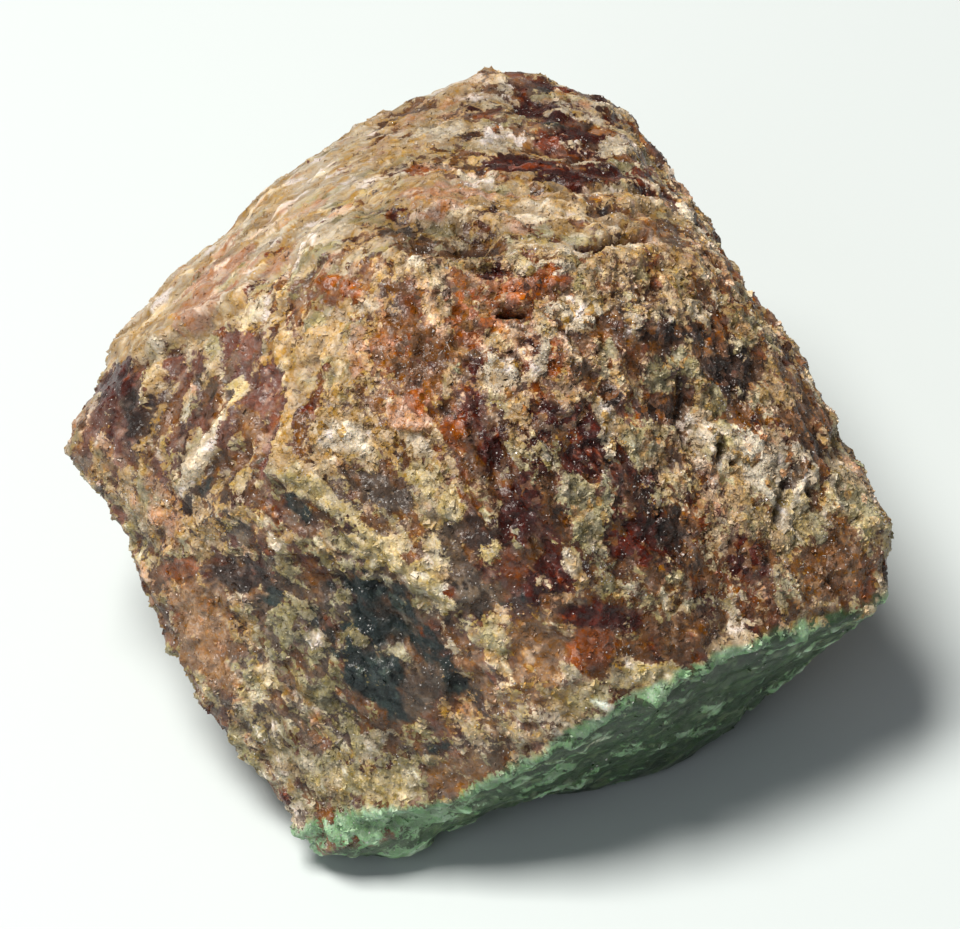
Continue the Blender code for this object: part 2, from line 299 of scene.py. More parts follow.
# Patches of one mineral, each centred on a picture point: mineral, (x, y), (long, wide), lean.
PATCHES = {
    # The top.
    "crown_lump": ("cream", (503, 92), (1.0, 0.8), 0),
    "crown_wine": ("wine", (535, 103), (2.6, 1.0), -30),
    "crown_wine_low": ("wine", (545, 122), (1.8, 0.7), 0),
    "crown_grey": ("cream", (556, 114), (1.6, 0.7), -20),
    "crown_white": ("cream", (600, 110), (1.9, 0.9), -20),
    "crown_rust": ("cinnamon", (482, 118), (1.0, 0.8), 0),
    "crown_brown": ("brown", (420, 104), (2.2, 1.0), 20),
    "crown_cream_left": ("cream", (440, 132), (2.0, 1.2), 10),
    "crown_cream": ("cream", (506, 137), (1.6, 1.4), 0),
    "crown_red": ("wine", (568, 138), (2.4, 0.7), 0),
    "crown_mottle": ("cream", (618, 150), (1.8, 0.8), 0),
    "shelf_rust_chip": ("cinnamon", (415, 173), (0.9, 0.9), 0),
    "shelf_brown": ("brown", (455, 155), (1.8, 0.8), 0),
    "shelf_cream": ("cream", (470, 178), (2.2, 0.8), 0),
    "shelf_peach": ("pink", (445, 198), (3.6, 1.2), 0),
    "shelf_cream_right": ("cream", (535, 213), (2.8, 1.2), 0),
    "shelf_dark": ("umber", (600, 207), (1.2, 0.8), 0),
    # A pale crest, partly painted light where a terrace's lip catches the lamp.
    "shelf_pale": ("cream", (612, 193), (1.6, 0.6), 0),
    "shelf_pale_low": ("cream", (570, 246), (1.4, 0.8), 0),
    "shelf_edge": ("cream", (625, 247), (1.8, 0.5), 5),
    "shelf_left": ("cream", (325, 232), (2.2, 1.4), 20),
    "hollow_wine": ("wine", (398, 209), (1.4, 0.5), 0),
    # The next three dark patches are painted shade in the hollow's groove.
    "hollow_violet": ("smoky", (396, 226), (2.2, 1.0), -12),
    "hollow_dark": ("teal", (422, 236), (1.2, 0.5), 10),
    "hollow_dark_right": ("umber", (486, 250), (1.6, 0.9), 0),
    "rim_cream": ("cream", (702, 235), (2.8, 0.9), -55),
    # The slab.
    "slab_white": ("cream", (312, 177), (2.6, 1.6), 35),
    "slab_tan": ("sugar", (142, 332), (3.0, 1.8), 35),
    "slab_cream": ("pink", (200, 305), (3.0, 1.2), 35),
    "slab_peach": ("pink", (225, 268), (3.2, 2.0), 40),
    "slab_brown": ("smoky", (250, 213), (1.2, 0.6), 35),
    "slab_brown_far": ("brown", (385, 130), (1.8, 0.9), 30),
    "slab_lens": ("cinnamon", (284, 262), (1.7, 0.7), 48),
    # The left face.
    "tip_red": ("wine", (120, 380), (2.4, 2.0), 30),
    "tip_dark": ("umber", (138, 415), (1.3, 2.8), 0),
    "tip_rust": ("cinnamon", (128, 458), (1.4, 1.0), 0),
    "left_plum": ("plum", (245, 352), (3.0, 2.6), 0),
    "left_plum_low": ("plum", (262, 388), (1.8, 1.6), 0),
    "left_brown": ("plum", (190, 360), (2.4, 1.2), 20),
    "left_bean": ("ochre", (189, 402), (1.5, 0.8), 78),
    "left_streak": ("sugar", (155, 385), (1.6, 0.5), 70),
    "left_vein_foot": ("cream", (195, 468), (2.4, 1.1), 60),
    "left_vein_top": ("ochre", (238, 388), (1.6, 0.8), 62),
    # The next two dark patches are painted shade in the slots beside the pale vein.
    "left_dark": ("umber", (212, 410), (1.8, 0.7), 65),
    "left_dark_low": ("teal", (207, 482), (1.6, 0.6), 62),
    "left_dark_foot": ("umber", (188, 505), (1.4, 0.7), 55),
    "left_lens": ("plum", (268, 425), (2.4, 0.9), 68),
    "left_lens_low": ("plum", (264, 462), (1.6, 1.1), 68),
    "left_chip": ("cream", (266, 305), (1.8, 0.8), 65),
    # The crown of the broad face.
    "orange_chip": ("cinnamon", (340, 290), (1.7, 1.9), 60),
    "white_chip": ("cream", (363, 304), (1.5, 0.6), 0),
    "peach_chunk": ("pink", (358, 350), (1.0, 2.4), 0),
    "knee_grey": ("sugar", (318, 348), (1.4, 2.0), 0),
    # A dark patch that is painted shade in the pit.
    "pit_dark": ("umber", (512, 316), (1.6, 0.7), 0),
    "lip_dark": ("wine", (490, 275), (1.3, 0.6), 0),
    "lip_red": ("cinnamon", (542, 277), (3.0, 0.9), 0),
    "lip_orange": ("cinnamon", (525, 291), (3.8, 1.2), 0),
    "lip_top": ("cream", (557, 267), (3.4, 0.6), 3),
    "orange_crown": ("cinnamon", (470, 318), (2.6, 2.2), 0),
    "crown_dark_line": ("brown", (410, 290), (2.6, 0.5), -5),
    "white_shoulder": ("cream", (574, 311), (2.6, 1.4), 0),
    "yellow_fleck": ("ochre", (552, 328), (0.9, 0.7), 0),
    "orange_mid": ("cinnamon", (557, 357), (0.8, 1.8), 0),
    "brow_brown": ("brown", (610, 330), (1.0, 1.5), 0),
    "brow_pale": ("cream", (629, 326), (1.3, 0.8), 0),
    "granular_brown": ("brown", (410, 345), (3.4, 2.2), 0),
    "red_chip": ("cinnamon", (386, 342), (0.9, 0.8), 0),
    "red_chip_low": ("cinnamon", (416, 398), (0.8, 1.2), 0),
    "red_chip_right": ("wine", (474, 364), (0.9, 1.2), 0),
    "white_fleck": ("mint", (454, 372), (0.7, 1.2), 0),
    "grey_fleck": ("cream", (505, 370), (1.4, 1.2), 0),
    "cream_right": ("cream", (540, 362), (0.9, 1.8), -20),
    "plum_fleck": ("umber", (447, 405), (0.8, 1.1), 0),
    "rust_streak": ("brown", (298, 436), (0.6, 2.2), 0),
    "cream_low": ("cream", (345, 437), (2.6, 1.5), -15),
    "pink_low": ("pink", (408, 415), (2.0, 1.4), 0),
    "white_low": ("cream", (415, 446), (1.0, 1.0), 0),
    # The middle.
    "orange_fall": ("cinnamon", (455, 436), (1.4, 2.4), 10),
    "wine_streak_high": ("wine", (492, 450), (1.3, 2.4), 0),
    "tan_column": ("sugar", (517, 420), (1.3, 2.0), 0),
    "white_flecks": ("cream", (550, 458), (1.2, 0.9), 0),
    "wine_blot": ("wine", (580, 438), (2.0, 3.4), 10),
    "wine_blot_left": ("wine", (545, 427), (1.4, 2.2), 0),
    "pale_column": ("cream", (609, 430), (0.9, 2.8), 0),
    "dark_fleck": ("umber", (612, 393), (0.8, 1.3), 0),
    "khaki_column": ("khaki", (636, 448), (1.5, 2.6), -10),
    "khaki_fan": ("khaki", (594, 506), (3.0, 3.4), 0),
    "khaki_fan_pale": ("cream", (576, 490), (1.4, 1.0), 0),
    "wine_streak_low": ("wine", (520, 510), (1.6, 3.2), -12),
    "black_fleck": ("umber", (562, 520), (1.2, 1.5), 0),
    "dark_violet": ("umber", (475, 532), (1.5, 2.0), 0),
    "wine_low": ("wine", (550, 578), (1.8, 2.4), -12),
    "rust_low": ("cinnamon", (515, 563), (1.5, 1.4), 0),
    "tan_low": ("ochre", (492, 550), (1.3, 1.0), 0),
    "grey_low": ("teal", (508, 592), (1.8, 1.5), -30),
    "cream_dot": ("cream", (572, 560), (0.8, 1.1), 0),
    "lilac_dot": ("cream", (593, 545), (0.7, 0.9), 0),
    # The right side.
    "brow_white": ("cream", (703, 308), (1.7, 1.0), 0),
    "dark_brow": ("umber", (672, 332), (3.0, 1.0), 5),
    "dark_shoulder": ("umber", (726, 366), (3.2, 2.6), -50),
    "khaki_brow": ("khaki", (672, 373), (2.6, 2.0), 0),
    "dark_plum": ("umber", (664, 410), (2.6, 1.4), 10),
    "tan_rim": ("sugar", (785, 382), (1.4, 2.4), 30),
    "rust_rim": ("brown", (772, 416), (4.0, 1.4), 0),
    "cream_cap": ("cream", (722, 437), (2.4, 1.5), -10),
    "cream_column": ("cream", (756, 465), (1.1, 2.6), 0),
    "tan_column_right": ("sugar", (737, 480), (0.9, 2.0), 0),
    "ring_middle": ("smoky", (792, 475), (0.9, 1.4), 0),
    "ring_hole": ("umber", (789, 488), (0.6, 0.8), 0),
    "cream_knob": ("cream", (843, 465), (0.9, 1.0), 0),
    "khaki_knob": ("khaki", (845, 492), (1.0, 2.0), 0),
    "dark_right": ("umber", (815, 443), (1.6, 1.7), 0),
    "dark_cheek": ("umber", (640, 490), (2.1, 2.0), 0),
    "dark_cheek_low": ("umber", (676, 525), (1.6, 1.6), 0),
    "wine_cheek": ("wine", (640, 545), (3.2, 1.8), 0),
    "dark_cheek_right": ("wine", (748, 560), (2.6, 1.8), 0),
    "cheek_rust": ("brown", (832, 560), (3.6, 3.2), 0),
    "corner_rust": ("cinnamon", (862, 580), (1.6, 2.0), 0),
    # The vein and what lies under it.
    "vein_lump": ("ochre", (424, 478), (1.8, 1.6), -35),
    "vein_lump_pale": ("mint", (434, 482), (0.9, 0.8), 0),
    "vein_lump_low": ("ochre", (452, 502), (1.2, 2.0), 0),
    "vein_pale": ("cream", (330, 500), (1.6, 0.8), -35),
    "vein_wide": ("ochre", (385, 552), (2.8, 1.5), -40),
    "pale_chip": ("mint", (441, 570), (1.5, 1.5), 60),
    "smoky_high": ("smoky", (380, 490), (3.4, 1.6), -25),
    "smoky_right": ("smoky", (470, 585), (3.2, 1.6), -40),
    "blue_left": ("teal", (296, 515), (2.2, 1.4), -40),
    # The low front.
    "salmon_glow": ("cinnamon", (178, 568), (1.0, 2.4), 100),
    "salmon_rim": ("honey", (198, 612), (2.0, 2.8), 100),
    "brown_rim": ("honey", (207, 665), (1.6, 2.6), 30),
    "plum_low": ("umber", (232, 576), (2.6, 1.4), 0),
    "teal_dot": ("teal", (269, 597), (1.2, 0.8), 0),
    "teal_pool": ("teal", (388, 618), (5.0, 3.2), -35),
    "teal_pool_mid": ("teal", (368, 672), (3.2, 2.4), -45),
    "teal_pool_foot": ("teal", (396, 712), (1.5, 1.4), -60),
    "teal_pool_low": ("teal", (466, 688), (2.8, 2.4), 30),
    "teal_pool_top": ("teal", (358, 588), (2.2, 1.0), 0),
    "pool_brown": ("brown", (409, 652), (1.1, 1.1), 0),
    "brown_fall": ("smoky", (424, 690), (1.5, 2.4), -20),
    "khaki_flecks": ("khaki", (285, 625), (2.2, 1.6), 0),
    "khaki_flecks_low": ("khaki", (330, 700), (2.4, 1.6), -30),
    "cream_flecks": ("cream", (315, 640), (1.6, 0.8), 0),
    "white_fall": ("cream", (448, 645), (0.6, 3.4), 25),
    "lilac_low": ("cream", (378, 740), (1.2, 1.2), 0),
    "toe_ochre": ("ochre", (390, 785), (2.6, 1.4), 10),
    "toe_ochre_left": ("ochre", (345, 775), (1.4, 1.0), 0),
    "foot_smooth": ("honey", (450, 772), (4.4, 1.5), 20),
    "foot_dark": ("teal", (425, 750), (2.4, 0.6), 12),
    "toe_white": ("cream", (297, 812), (1.0, 1.0), 0),
    # The chin, and the face that turns down below it.
    "orange_low": ("cinnamon", (592, 650), (2.4, 2.0), 30),
    # The underside's pale green blotches: mostly painted reflection of a coloured backdrop.
    "under_blotch": ("moss_painted_reflection", (715, 706), (1.5, 0.6), 20),
    "under_blotch_right": ("moss_painted_reflection", (756, 677), (1.5, 0.5), 25),
    "under_blotch_low": ("moss_painted_reflection", (698, 730), (1.6, 0.6), 10),
    "under_blotch_left": ("moss_painted_reflection", (625, 750), (2.0, 0.6), 15),
    "under_blotch_top": ("moss_painted_reflection", (688, 690), (1.2, 0.5), 30),
    "wine_heel": ("wine", (606, 616), (3.4, 1.6), 0),
    "rust_heel": ("brown", (675, 640), (4.0, 1.8), 20),
    "rust_heel_red": ("wine", (655, 650), (1.4, 1.0), 15),
    "chin_khaki": ("khaki", (495, 640), (1.6, 2.4), 10),
    "chin_smooth": ("honey", (540, 650), (2.2, 3.0), 0),
    "chin_ochre": ("ochre", (620, 680), (5.0, 1.1), 15),
    "chin_chip": ("mint", (603, 697), (1.6, 0.8), 25),
}

# Bands of one mineral that run along a line of picture points: mineral, points, half width, and how
# much the edges wander.
SEAMS = {
    "vein": ("ochre", ((284, 468), (318, 490), (352, 520), (390, 555), (420, 575), (452, 598)), 0.50, 1.1),
    "left_vein": ("cream", ((184, 490), (196, 462), (215, 440), (228, 415), (243, 382)), 0.42, 0.9),
    "knee_line": ("sugar", ((284, 300), (284, 350), (286, 400), (282, 460)), 0.30, 1.8),
    # A dark band of wine colour, partly painted shade on the risers of the growth steps.
    "end_stripe": ("wine", ((500, 158), (545, 166), (600, 174), (662, 186)), 0.85, 1.3),
    "shelf_crack": ("wine", ((565, 243), (600, 240), (650, 240)), 0.20, 1.3),
    "ring_stroke": ("cream", ((768, 468), (773, 495), (785, 520), (798, 540)), 0.36, 0.7),
    "ring_loop": (
        "cream",
        ((777, 462), (792, 448), (810, 455), (815, 472), (806, 488), (790, 500)),
        0.30,
        0.6,
    ),
    # A pale green band along the low edge: mostly painted reflected light.
    "rim": (
        "moss_painted_reflection",
        (
            (300, 832),
            (368, 818),
            (440, 803),
            (509, 768),
            (568, 733),
            (623, 703),
            (683, 672),
            (733, 647),
            (800, 626),
        ),
        0.40,
        0.35,
    ),
}

# Hollows (below 0) and lumps (above 0), each centred on a picture point: (x, y), (long, wide), lean
# and height.
DENTS = {
    "crown_hollow": ((440, 234), (5.8, 2.4), -14, -0.7),
    "crown_pit": ((512, 314), (1.5, 0.42), 0, -1.5),
    "pit_roof": ((512, 300), (2.2, 0.7), 0, 0.5),
    "orange_lip": ((520, 280), (5.0, 1.1), 0, 0.2),
    "lip_groove": ((495, 272), (3.4, 0.5), -8, -0.5),
    "shelf_crack": ((622, 240), (3.6, 0.5), 5, -0.8),
    "left_corner": ((84, 440), (5.0, 5.0), 0, 0.15),
    "right_corner": ((878, 555), (5.0, 6.0), 0, 0.3),
    "toe_corner": ((375, 846), (6.0, 2.6), 5, 0.4),
    "crown_corner": ((512, 74), (4.0, 1.6), 0, 0.12),
    "upper_right_dip": ((757, 280), (6.0, 2.4), -58, -0.35),
    "right_rim_dip": ((832, 420), (7.0, 2.4), -60, -0.3),
    "under_right_dip": ((815, 685), (8.0, 3.0), 38, -0.5),
    "left_foot_dip": ((118, 525), (3.0, 2.0), -50, -0.35),
    "left_flank_dip": ((160, 630), (3.0, 3.6), -60, -0.3),
    "shelf_step": ((590, 190), (8.0, 0.6), 0, -0.4),
    "shelf_lip": ((600, 205), (8.0, 0.9), 0, 0.25),
    "end_groove": ((560, 150), (6.0, 0.8), -8, -0.3),
    "end_hollow": ((530, 108), (2.6, 1.6), -35, -0.5),
    "orange_chip": ((340, 290), (1.6, 2.2), 60, 0.4),
    "chip_groove": ((365, 318), (0.8, 2.6), 30, -0.35),
    "slab_lens": ((281, 266), (2.4, 0.8), 45, -0.35),
    "slab_foot": ((190, 335), (7.5, 1.0), 30, -0.6),
    "left_vein": ((215, 437), (6.0, 1.1), 55, 0.35),
    "left_vein_groove": ((232, 462), (3.6, 0.8), 60, -0.4),
    "left_red_lens": ((264, 442), (3.8, 1.2), 68, -0.35),
    "vein_lumps": ((430, 495), (3.0, 1.6), -35, 0.45),
    "teal_pool": ((385, 640), (4.4, 2.8), -45, -0.35),
    "teal_pool_low": ((467, 692), (2.2, 1.8), 30, -0.4),
    "wine_gully": ((505, 490), (1.4, 5.4), 12, -0.5),
    "wine_gully_right": ((540, 540), (1.2, 4.4), 22, -0.4),
    "gully_rib": ((470, 460), (1.0, 4.6), 10, 0.3),
    "wine_blot": ((570, 440), (2.6, 2.4), -50, -0.3),
    "shoulder_gully": ((690, 425), (1.2, 4.0), 10, -0.5),
    "cream_cap": ((735, 440), (3.2, 2.0), -15, 0.35),
    "cream_hole": ((721, 450), (0.5, 1.1), 0, -0.9),
    "cream_hole_small": ((734, 462), (0.4, 0.4), 0, -0.7),
    "cream_ring": ((800, 480), (2.2, 2.4), -30, 0.35),
    "cream_ring_hole": ((812, 490), (0.6, 0.7), 0, -0.6),
    "cream_gully": ((783, 500), (0.8, 3.0), -15, -0.5),
    "rust_hole": ((857, 521), (0.6, 0.5), 0, -0.5),
    "cheek_gully": ((660, 540), (3.6, 1.4), -25, -0.4),
    "chin_dip": ((540, 650), (4.0, 2.4), 15, -0.25),
    "chin_chip": ((600, 706), (2.6, 1.2), 25, 0.25),
}

# Crests that run along the crystal's edges: picture points in order, half width and height.
CRESTS = {
    "low_edge": (
        ((300, 824), (368, 808), (440, 796), (505, 771), (550, 750), (600, 724), (650, 696)),
        0.45,
        0.40,
    ),
    "low_edge_right": (((650, 694), (700, 665), (740, 642), (800, 632), (866, 607)), 0.45, 0.45),
    "vein": (((276, 468), (312, 478), (355, 520), (400, 562), (450, 600)), 0.6, 0.45),
    "left_knee": (((280, 470), (274, 420), (284, 350), (318, 290)), 0.7, 0.15),
    "left_foot": (((278, 472), (215, 520), (150, 575)), 0.6, 0.15),
    "slab_foot": (((120, 345), (165, 342), (195, 318), (230, 300), (285, 290)), 0.6, 0.35),
    "brow": (((330, 258), (400, 262), (470, 266), (560, 262), (640, 262)), 0.6, 0.20),
}

# Relief of the broken faces: cell size, tilt and step of each layer of chips, ribs along the streaks,
# and fine roughness as size and rise.
CHIP_LAYERS = ((4.0, 0.12, 0.20), (CHUNK_SIZES[0], 0.24, 0.16), (CHUNK_SIZES[1], 0.30, 0.10))
SMALL_CHIPS = 1.0  # chips under this size are weaker where a face isn't sugary
RIB_SIZE = 1.1  # across the ribs
ROUGHNESS_LAYERS = ((0.9, 0.09), (0.45, 0.07))
DENT_EDGE_SIZE, DENT_RAGGEDNESS, CREST_RAGGEDNESS = 1.2, 0.6, 1.2
RELIEF_OFFSET = -0.10  # keeps the worked surface, with its crust, at the solid's own size

# The crust's own relief: its thickness, and the spacing and rise of its rounded lumps.
CRUST_FADE = (0.35, 0.65)  # cover between which it grows to its full thickness
CRUST_RISE = 0.12
CRUMB_LAYERS = ((1.1, 0.20), (0.60, 0.08))
CRUMB_SHOULDER = 0.45  # how far into a lump, as a share of the spacing, its side rises
CRUMB_MIDDLE = 0.6  # the share of a lump's rise that lies below the surface
LEAST_CRUMBS = 0.4  # what is left of the lumps where there is no crust
LEAST_GRAINY = 0.3  # what is left of lumps and small chips where a face isn't sugary

# Painted shade in hollows: they are darker than lumps by their depth below the surface evened out this
# many times, and more so in green and in blue than in red, so that the painted shade is redder.
SHADE_EVENING = 8
SHADE_DEPTH = 1.2
SHADE_LIMITS = (0.5, 1.15)
SHADE_POWERS = (1.0, 1.15, 1.3)

# The garnet's own pattern, too fine for the mesh: sizes of its crystals and noise, and their relief.
CRYSTAL_SIZE = 0.40
SUGAR_SIZE = 0.15
WARP_SIZE, WARP_REACH = 0.35, 0.30  # noise that bends the crystals' edges, and how far it moves them
RAGGED_SIZE = 0.8
FINE_SIZE = 0.18
CRYSTAL_SLOPE = 0.6  # how steeply the flat faces of single crystals lean
SUGAR_SLOPE = 0.75
SUGAR_RISE = 0.02
FINE_RISE = 0.04

# Finishes. Each garnet's are the roughness of its glass and of its crust, its gloss and its inner glow.
GARNETS = {
    "massive_garnet_broken": (0.32, 0.52, 0.25, 0.35),
    "sugary_garnet_grains": (0.30, 0.42, 0.4, 0.0),
    "glassy_garnet_grains": (0.22, 0.36, 0.4, 0.0),
}
GARNET_IOR = 1.60  # below a clear garnet's own, because the mass is full of fine cracks
GLOW_RADIUS = (1.0, 0.70, 0.45)  # red light goes furthest inside the stone
GLOW_DEPTH = 0.45
# The specks, small and glossy; their pale colours are painted glints.
QUARTZ_IOR = 1.54
QUARTZ_ROUGHNESS = 0.12
SPECK_PAINTED_GLINT_COLOURS = ("#5E544E", "#E6E2E0")
CLOUDY_SIZE = 0.5
CARD_COLOUR = "#C2CACC"
CARD_ROUGHNESS = 0.9

# The crust's grains: joined meshes of small crystals. Sizes are their median, the spread of their
# logarithms, and their limits.
GRAIN_PIECES = 3
GRAINS_PER_PIECE = 13000
GLASS_GRAINS = 7000
GRAIN_SIZES = (0.16, 0.38, (0.08, 0.36))
GRAIN_STAND = -0.30  # share of its size that a grain's middle stands above the surface, so it is sunk
GRAIN_THICKNESS = 0.9
GRAIN_FILL = 0.9  # a box this share of its size across
GRAIN_TILT = 1.2  # how strong its random lean is, against 1 for the surface's own direction
GRAIN_PULL = 0.4  # the most that a corner is pulled about, as a share of the box's half side
GRAIN_TOPS = (0.4, 0.9)  # how wide its top is, against its foot
GRAIN_ASPECTS = (0.7, 1.3)  # how far each of its sides is stretched
GRAIN_SHADES = (0.88, 1.12)
GRAIN_CRUST_FADE = (0.30, 0.70)
BARE_SUGAR = 0.1  # how dense sugar grains are where there is no crust, against 1.1 on it
GLASS_ON_BARE = 1.02  # how dense glassy grains are there, against 0.02 on the crust
MAP_SQUARE = 0.3  # half side of a grain's square on the map, as a share of the spacing
FOOT_BAND = (0.15, 0.9)  # heights between which the grains thin out towards the resting face
# Specks whose pale colour is painted glints, standing in clusters.
SPECKS = 10000
SPECK_SIZES = (0.058, 0.35, (0.03, 0.14))
SPECK_CLOUD_SIZE, SPECK_CLOUD_FADE = 2.2, (0.0, 0.7)  # the clusters that they stand in
LEAST_SPECKS = 0.08  # how dense they are between clusters, against 1.08 inside one

# The studio: the floor's half side, the sky, and each lamp's direction, distance, size, power in watts
# and colour.
FLOOR_HALF = 3000.0
SKY_COLOUR = "#F2F4F4"
SKY_STRENGTH = 0.16
LIGHTS = {
    "key": ((-0.34, 0.0, 0.94), 420.0, 170.0, 3.1, "#FFFAF2"),
    "fill": ((-0.5, -0.9, 0.8), 500.0, 300.0, 0.4, "#F4F8FF"),
}


def rgb(colour):
    """An sRGB hex colour as linear red, green and blue."""
    parts = np.array([int(colour[i : i + 2], 16) / 255 for i in (1, 3, 5)])
    return np.where(parts <= 0.04045, parts / 12.92, ((parts + 0.055) / 1.055) ** 2.4)


def unit(vectors):
    """Vectors made one long."""
    return vectors / np.maximum(np.linalg.norm(vectors, axis=-1, keepdims=True), 1e-12)


def smooth_step(value, low, high):
    """0 below low, 1 above high, and 3t^2 - 2t^3 between them."""
    t = np.clip((value - low) / (high - low), 0.0, 1.0)
    return t * t * (3.0 - 2.0 * t)


def lattice_random(corner, seed):
    """Even random numbers from 0 to 1, one for each whole-number corner of a lattice: its three numbers
    are multiplied, folded together and mixed by shifting bits."""
    mixed = corner[..., 0] * 73856093 ^ corner[..., 1] * 19349663 ^ corner[..., 2] * 83492791
    mixed = (mixed ^ (seed * 40503 + 977)) & 0xFFFFFFFF
    mixed = ((mixed ^ (mixed >> 15)) * 0x2C1B3C6D) & 0xFFFFFFFF
    mixed = ((mixed ^ (mixed >> 12)) * 0x297A2D39) & 0xFFFFFFFF
    return ((mixed ^ (mixed >> 15)) & 0xFFFFFF) / float(0x1000000)


def random_triples(corner, seed):
    """Three even random numbers from 0 to 1 for each corner of a lattice, from three seeds in a row."""
    return np.stack([lattice_random(corner, seed + k) for k in range(3)], -1)


def cloud(points, size, seed):
    """Smooth noise, about -1 to 1: each corner of a lattice of that spacing has a random slope, and the
    heights that the eight slopes round a point give there are blended by 6t^5 - 15t^4 + 10t^3."""
    scaled = points / size + seed * SEED_SHIFT
    cell = np.floor(scaled).astype(np.int64)
    part = scaled - cell
    fade = part**3 * (part * (part * 6.0 - 15.0) + 10.0)
    total = np.zeros(len(points))
    for corner in np.ndindex(2, 2, 2):
        corner = np.array(corner)
        share = np.prod(np.where(corner == 1, fade, 1.0 - fade), axis=1)
        slope = random_triples(cell + corner, seed * 7) * 2.0 - 1.0
        total += share * ((part - corner) * slope).sum(1)
    return total * CLOUD_GAIN


def layered_cloud(points, size, seed):
    """Three clouds of halving size and height, added and brought back to the height of one."""
    return sum(cloud(points, size / 2**k, seed + k) / 2**k for k in range(3)) / LAYERS_HEIGHT


def scattered_cells(points, size, seed):
    """The nearest of the points scattered one to each box of a lattice: the way from it, how much further
    the second nearest is, and the whole numbers of its box."""
    scaled = points / size
    cell = np.floor(scaled).astype(np.int64)
    nearest = np.full(len(points), BEYOND_BOXES)
    second = np.full(len(points), BEYOND_BOXES)
    way = np.zeros_like(points)
    owner = np.zeros_like(cell)
    for shift in np.ndindex(3, 3, 3):
        box = cell + (np.array(shift) - 1)
        seat = box + random_triples(box, seed * 5)
        gap = scaled - seat
        distance = (gap**2).sum(1)
        closer = distance < nearest
        second = np.where(closer, nearest, np.minimum(second, distance))
        nearest = np.where(closer, distance, nearest)
        way[closer] = gap[closer]
        owner[closer] = box[closer]
    return way * size, (np.sqrt(second) - np.sqrt(nearest)) * size, owner


def on_picture(points):
    """Picture coordinates of points in space, and how far each stands out towards the camera."""
    away = points - LOOK_AT
    depth = away @ TO_CAMERA
    scale = VIEW_DISTANCE / (VIEW_DISTANCE - depth) / MM_PER_PIXEL
    across = PICTURE_WIDTH / 2 + (away @ RIGHT) * scale
    down = PICTURE_HEIGHT / 2 - (away @ UP) * scale
    return np.stack([across, down], -1), depth


def direction_grid(steps):
    """Directions over a sphere, with their quads and a map. On each of six sides the direction is the
    side's axis plus the tangents of two even angles along the other two axes. Points that sides share
    are merged. Each side is one square of a map of three by two squares."""
    turn = np.tan(np.linspace(-math.pi / 4, math.pi / 4, steps + 1))
    u, v = np.meshgrid(turn, turn, indexing="ij")
    row, column = np.meshgrid(np.arange(steps), np.arange(steps), indexing="ij")
    corner = (row * (steps + 1) + column).ravel()
    square = np.stack([corner, corner + steps + 1, corner + steps + 2, corner + 1], -1)
    span = np.linspace(MAP_MARGIN, 1.0 - MAP_MARGIN, steps + 1)
    place_u, place_v = np.meshgrid(span, span, indexing="ij")
    points, quads, places = [], [], []
    for side in range(6):
        axis = np.roll([1.0, 0.0, 0.0], side % 3) * (1 if side < 3 else -1)
        along = np.roll([0.0, 1.0, 0.0], side % 3)
        across = np.cross(axis, along)
        side_points = axis + u[..., None] * along + v[..., None] * across
        points.append(side_points.reshape(-1, 3))
        quads.append(square + side * (steps + 1) ** 2)
        place = np.stack([(place_u + side % 3) / 3, (place_v + side // 3) / 2], -1).reshape(-1, 2)
        places.append(place[square])
    points = unit(np.concatenate(points))
    _, first, index = np.unique(np.round(points, 6), axis=0, return_index=True, return_inverse=True)
    return points[first], index.reshape(-1)[np.concatenate(quads)], np.concatenate(places)


def mesh_piece(name, points, faces, material):
    """An object at the origin from points in millimetres and faces of one size each."""
    mesh = bpy.data.meshes.new(name)
    mesh.vertices.add(len(points))
    mesh.vertices.foreach_set("co", (points * MM).astype(np.float32).ravel())
    sides = faces.shape[1]
    mesh.loops.add(faces.size)
    mesh.loops.foreach_set("vertex_index", faces.astype(np.int32).ravel())
    mesh.polygons.add(len(faces))
    mesh.polygons.foreach_set("loop_start", np.arange(0, faces.size, sides, dtype=np.int32))
    mesh.update(calc_edges=True)
    mesh.materials.append(material)
    piece = bpy.data.objects.new(name, mesh)
    bpy.context.scene.collection.objects.link(piece)
    return piece


def add_map(piece, places):
    """Gives every face corner its place on the piece's own map."""
    layer = piece.data.uv_layers.new(name="OFBake")
    layer.uv.foreach_set("vector", places.astype(np.float32).ravel())


def add_numbers(piece, name, values):
    """Stores one number for each point under that name."""
    attribute = piece.data.attributes.new(name, "FLOAT", "POINT")
    attribute.data.foreach_set("value", values.astype(np.float32))


def add_colours(piece, name, colours):
    """Stores a colour for each point under that name."""
    attribute = piece.data.color_attributes.new(name, "FLOAT_COLOR", "POINT")
    with_alpha = np.concatenate([colours, np.ones((len(colours), 1))], 1)
    attribute.data.foreach_set("color", with_alpha.astype(np.float32).ravel())


def add_looks(piece, looks):
    """Stores each look under its name, as colours or as plain numbers."""
    for name, values in looks.items():
        (add_colours if values.ndim == 2 else add_numbers)(piece, name, values)


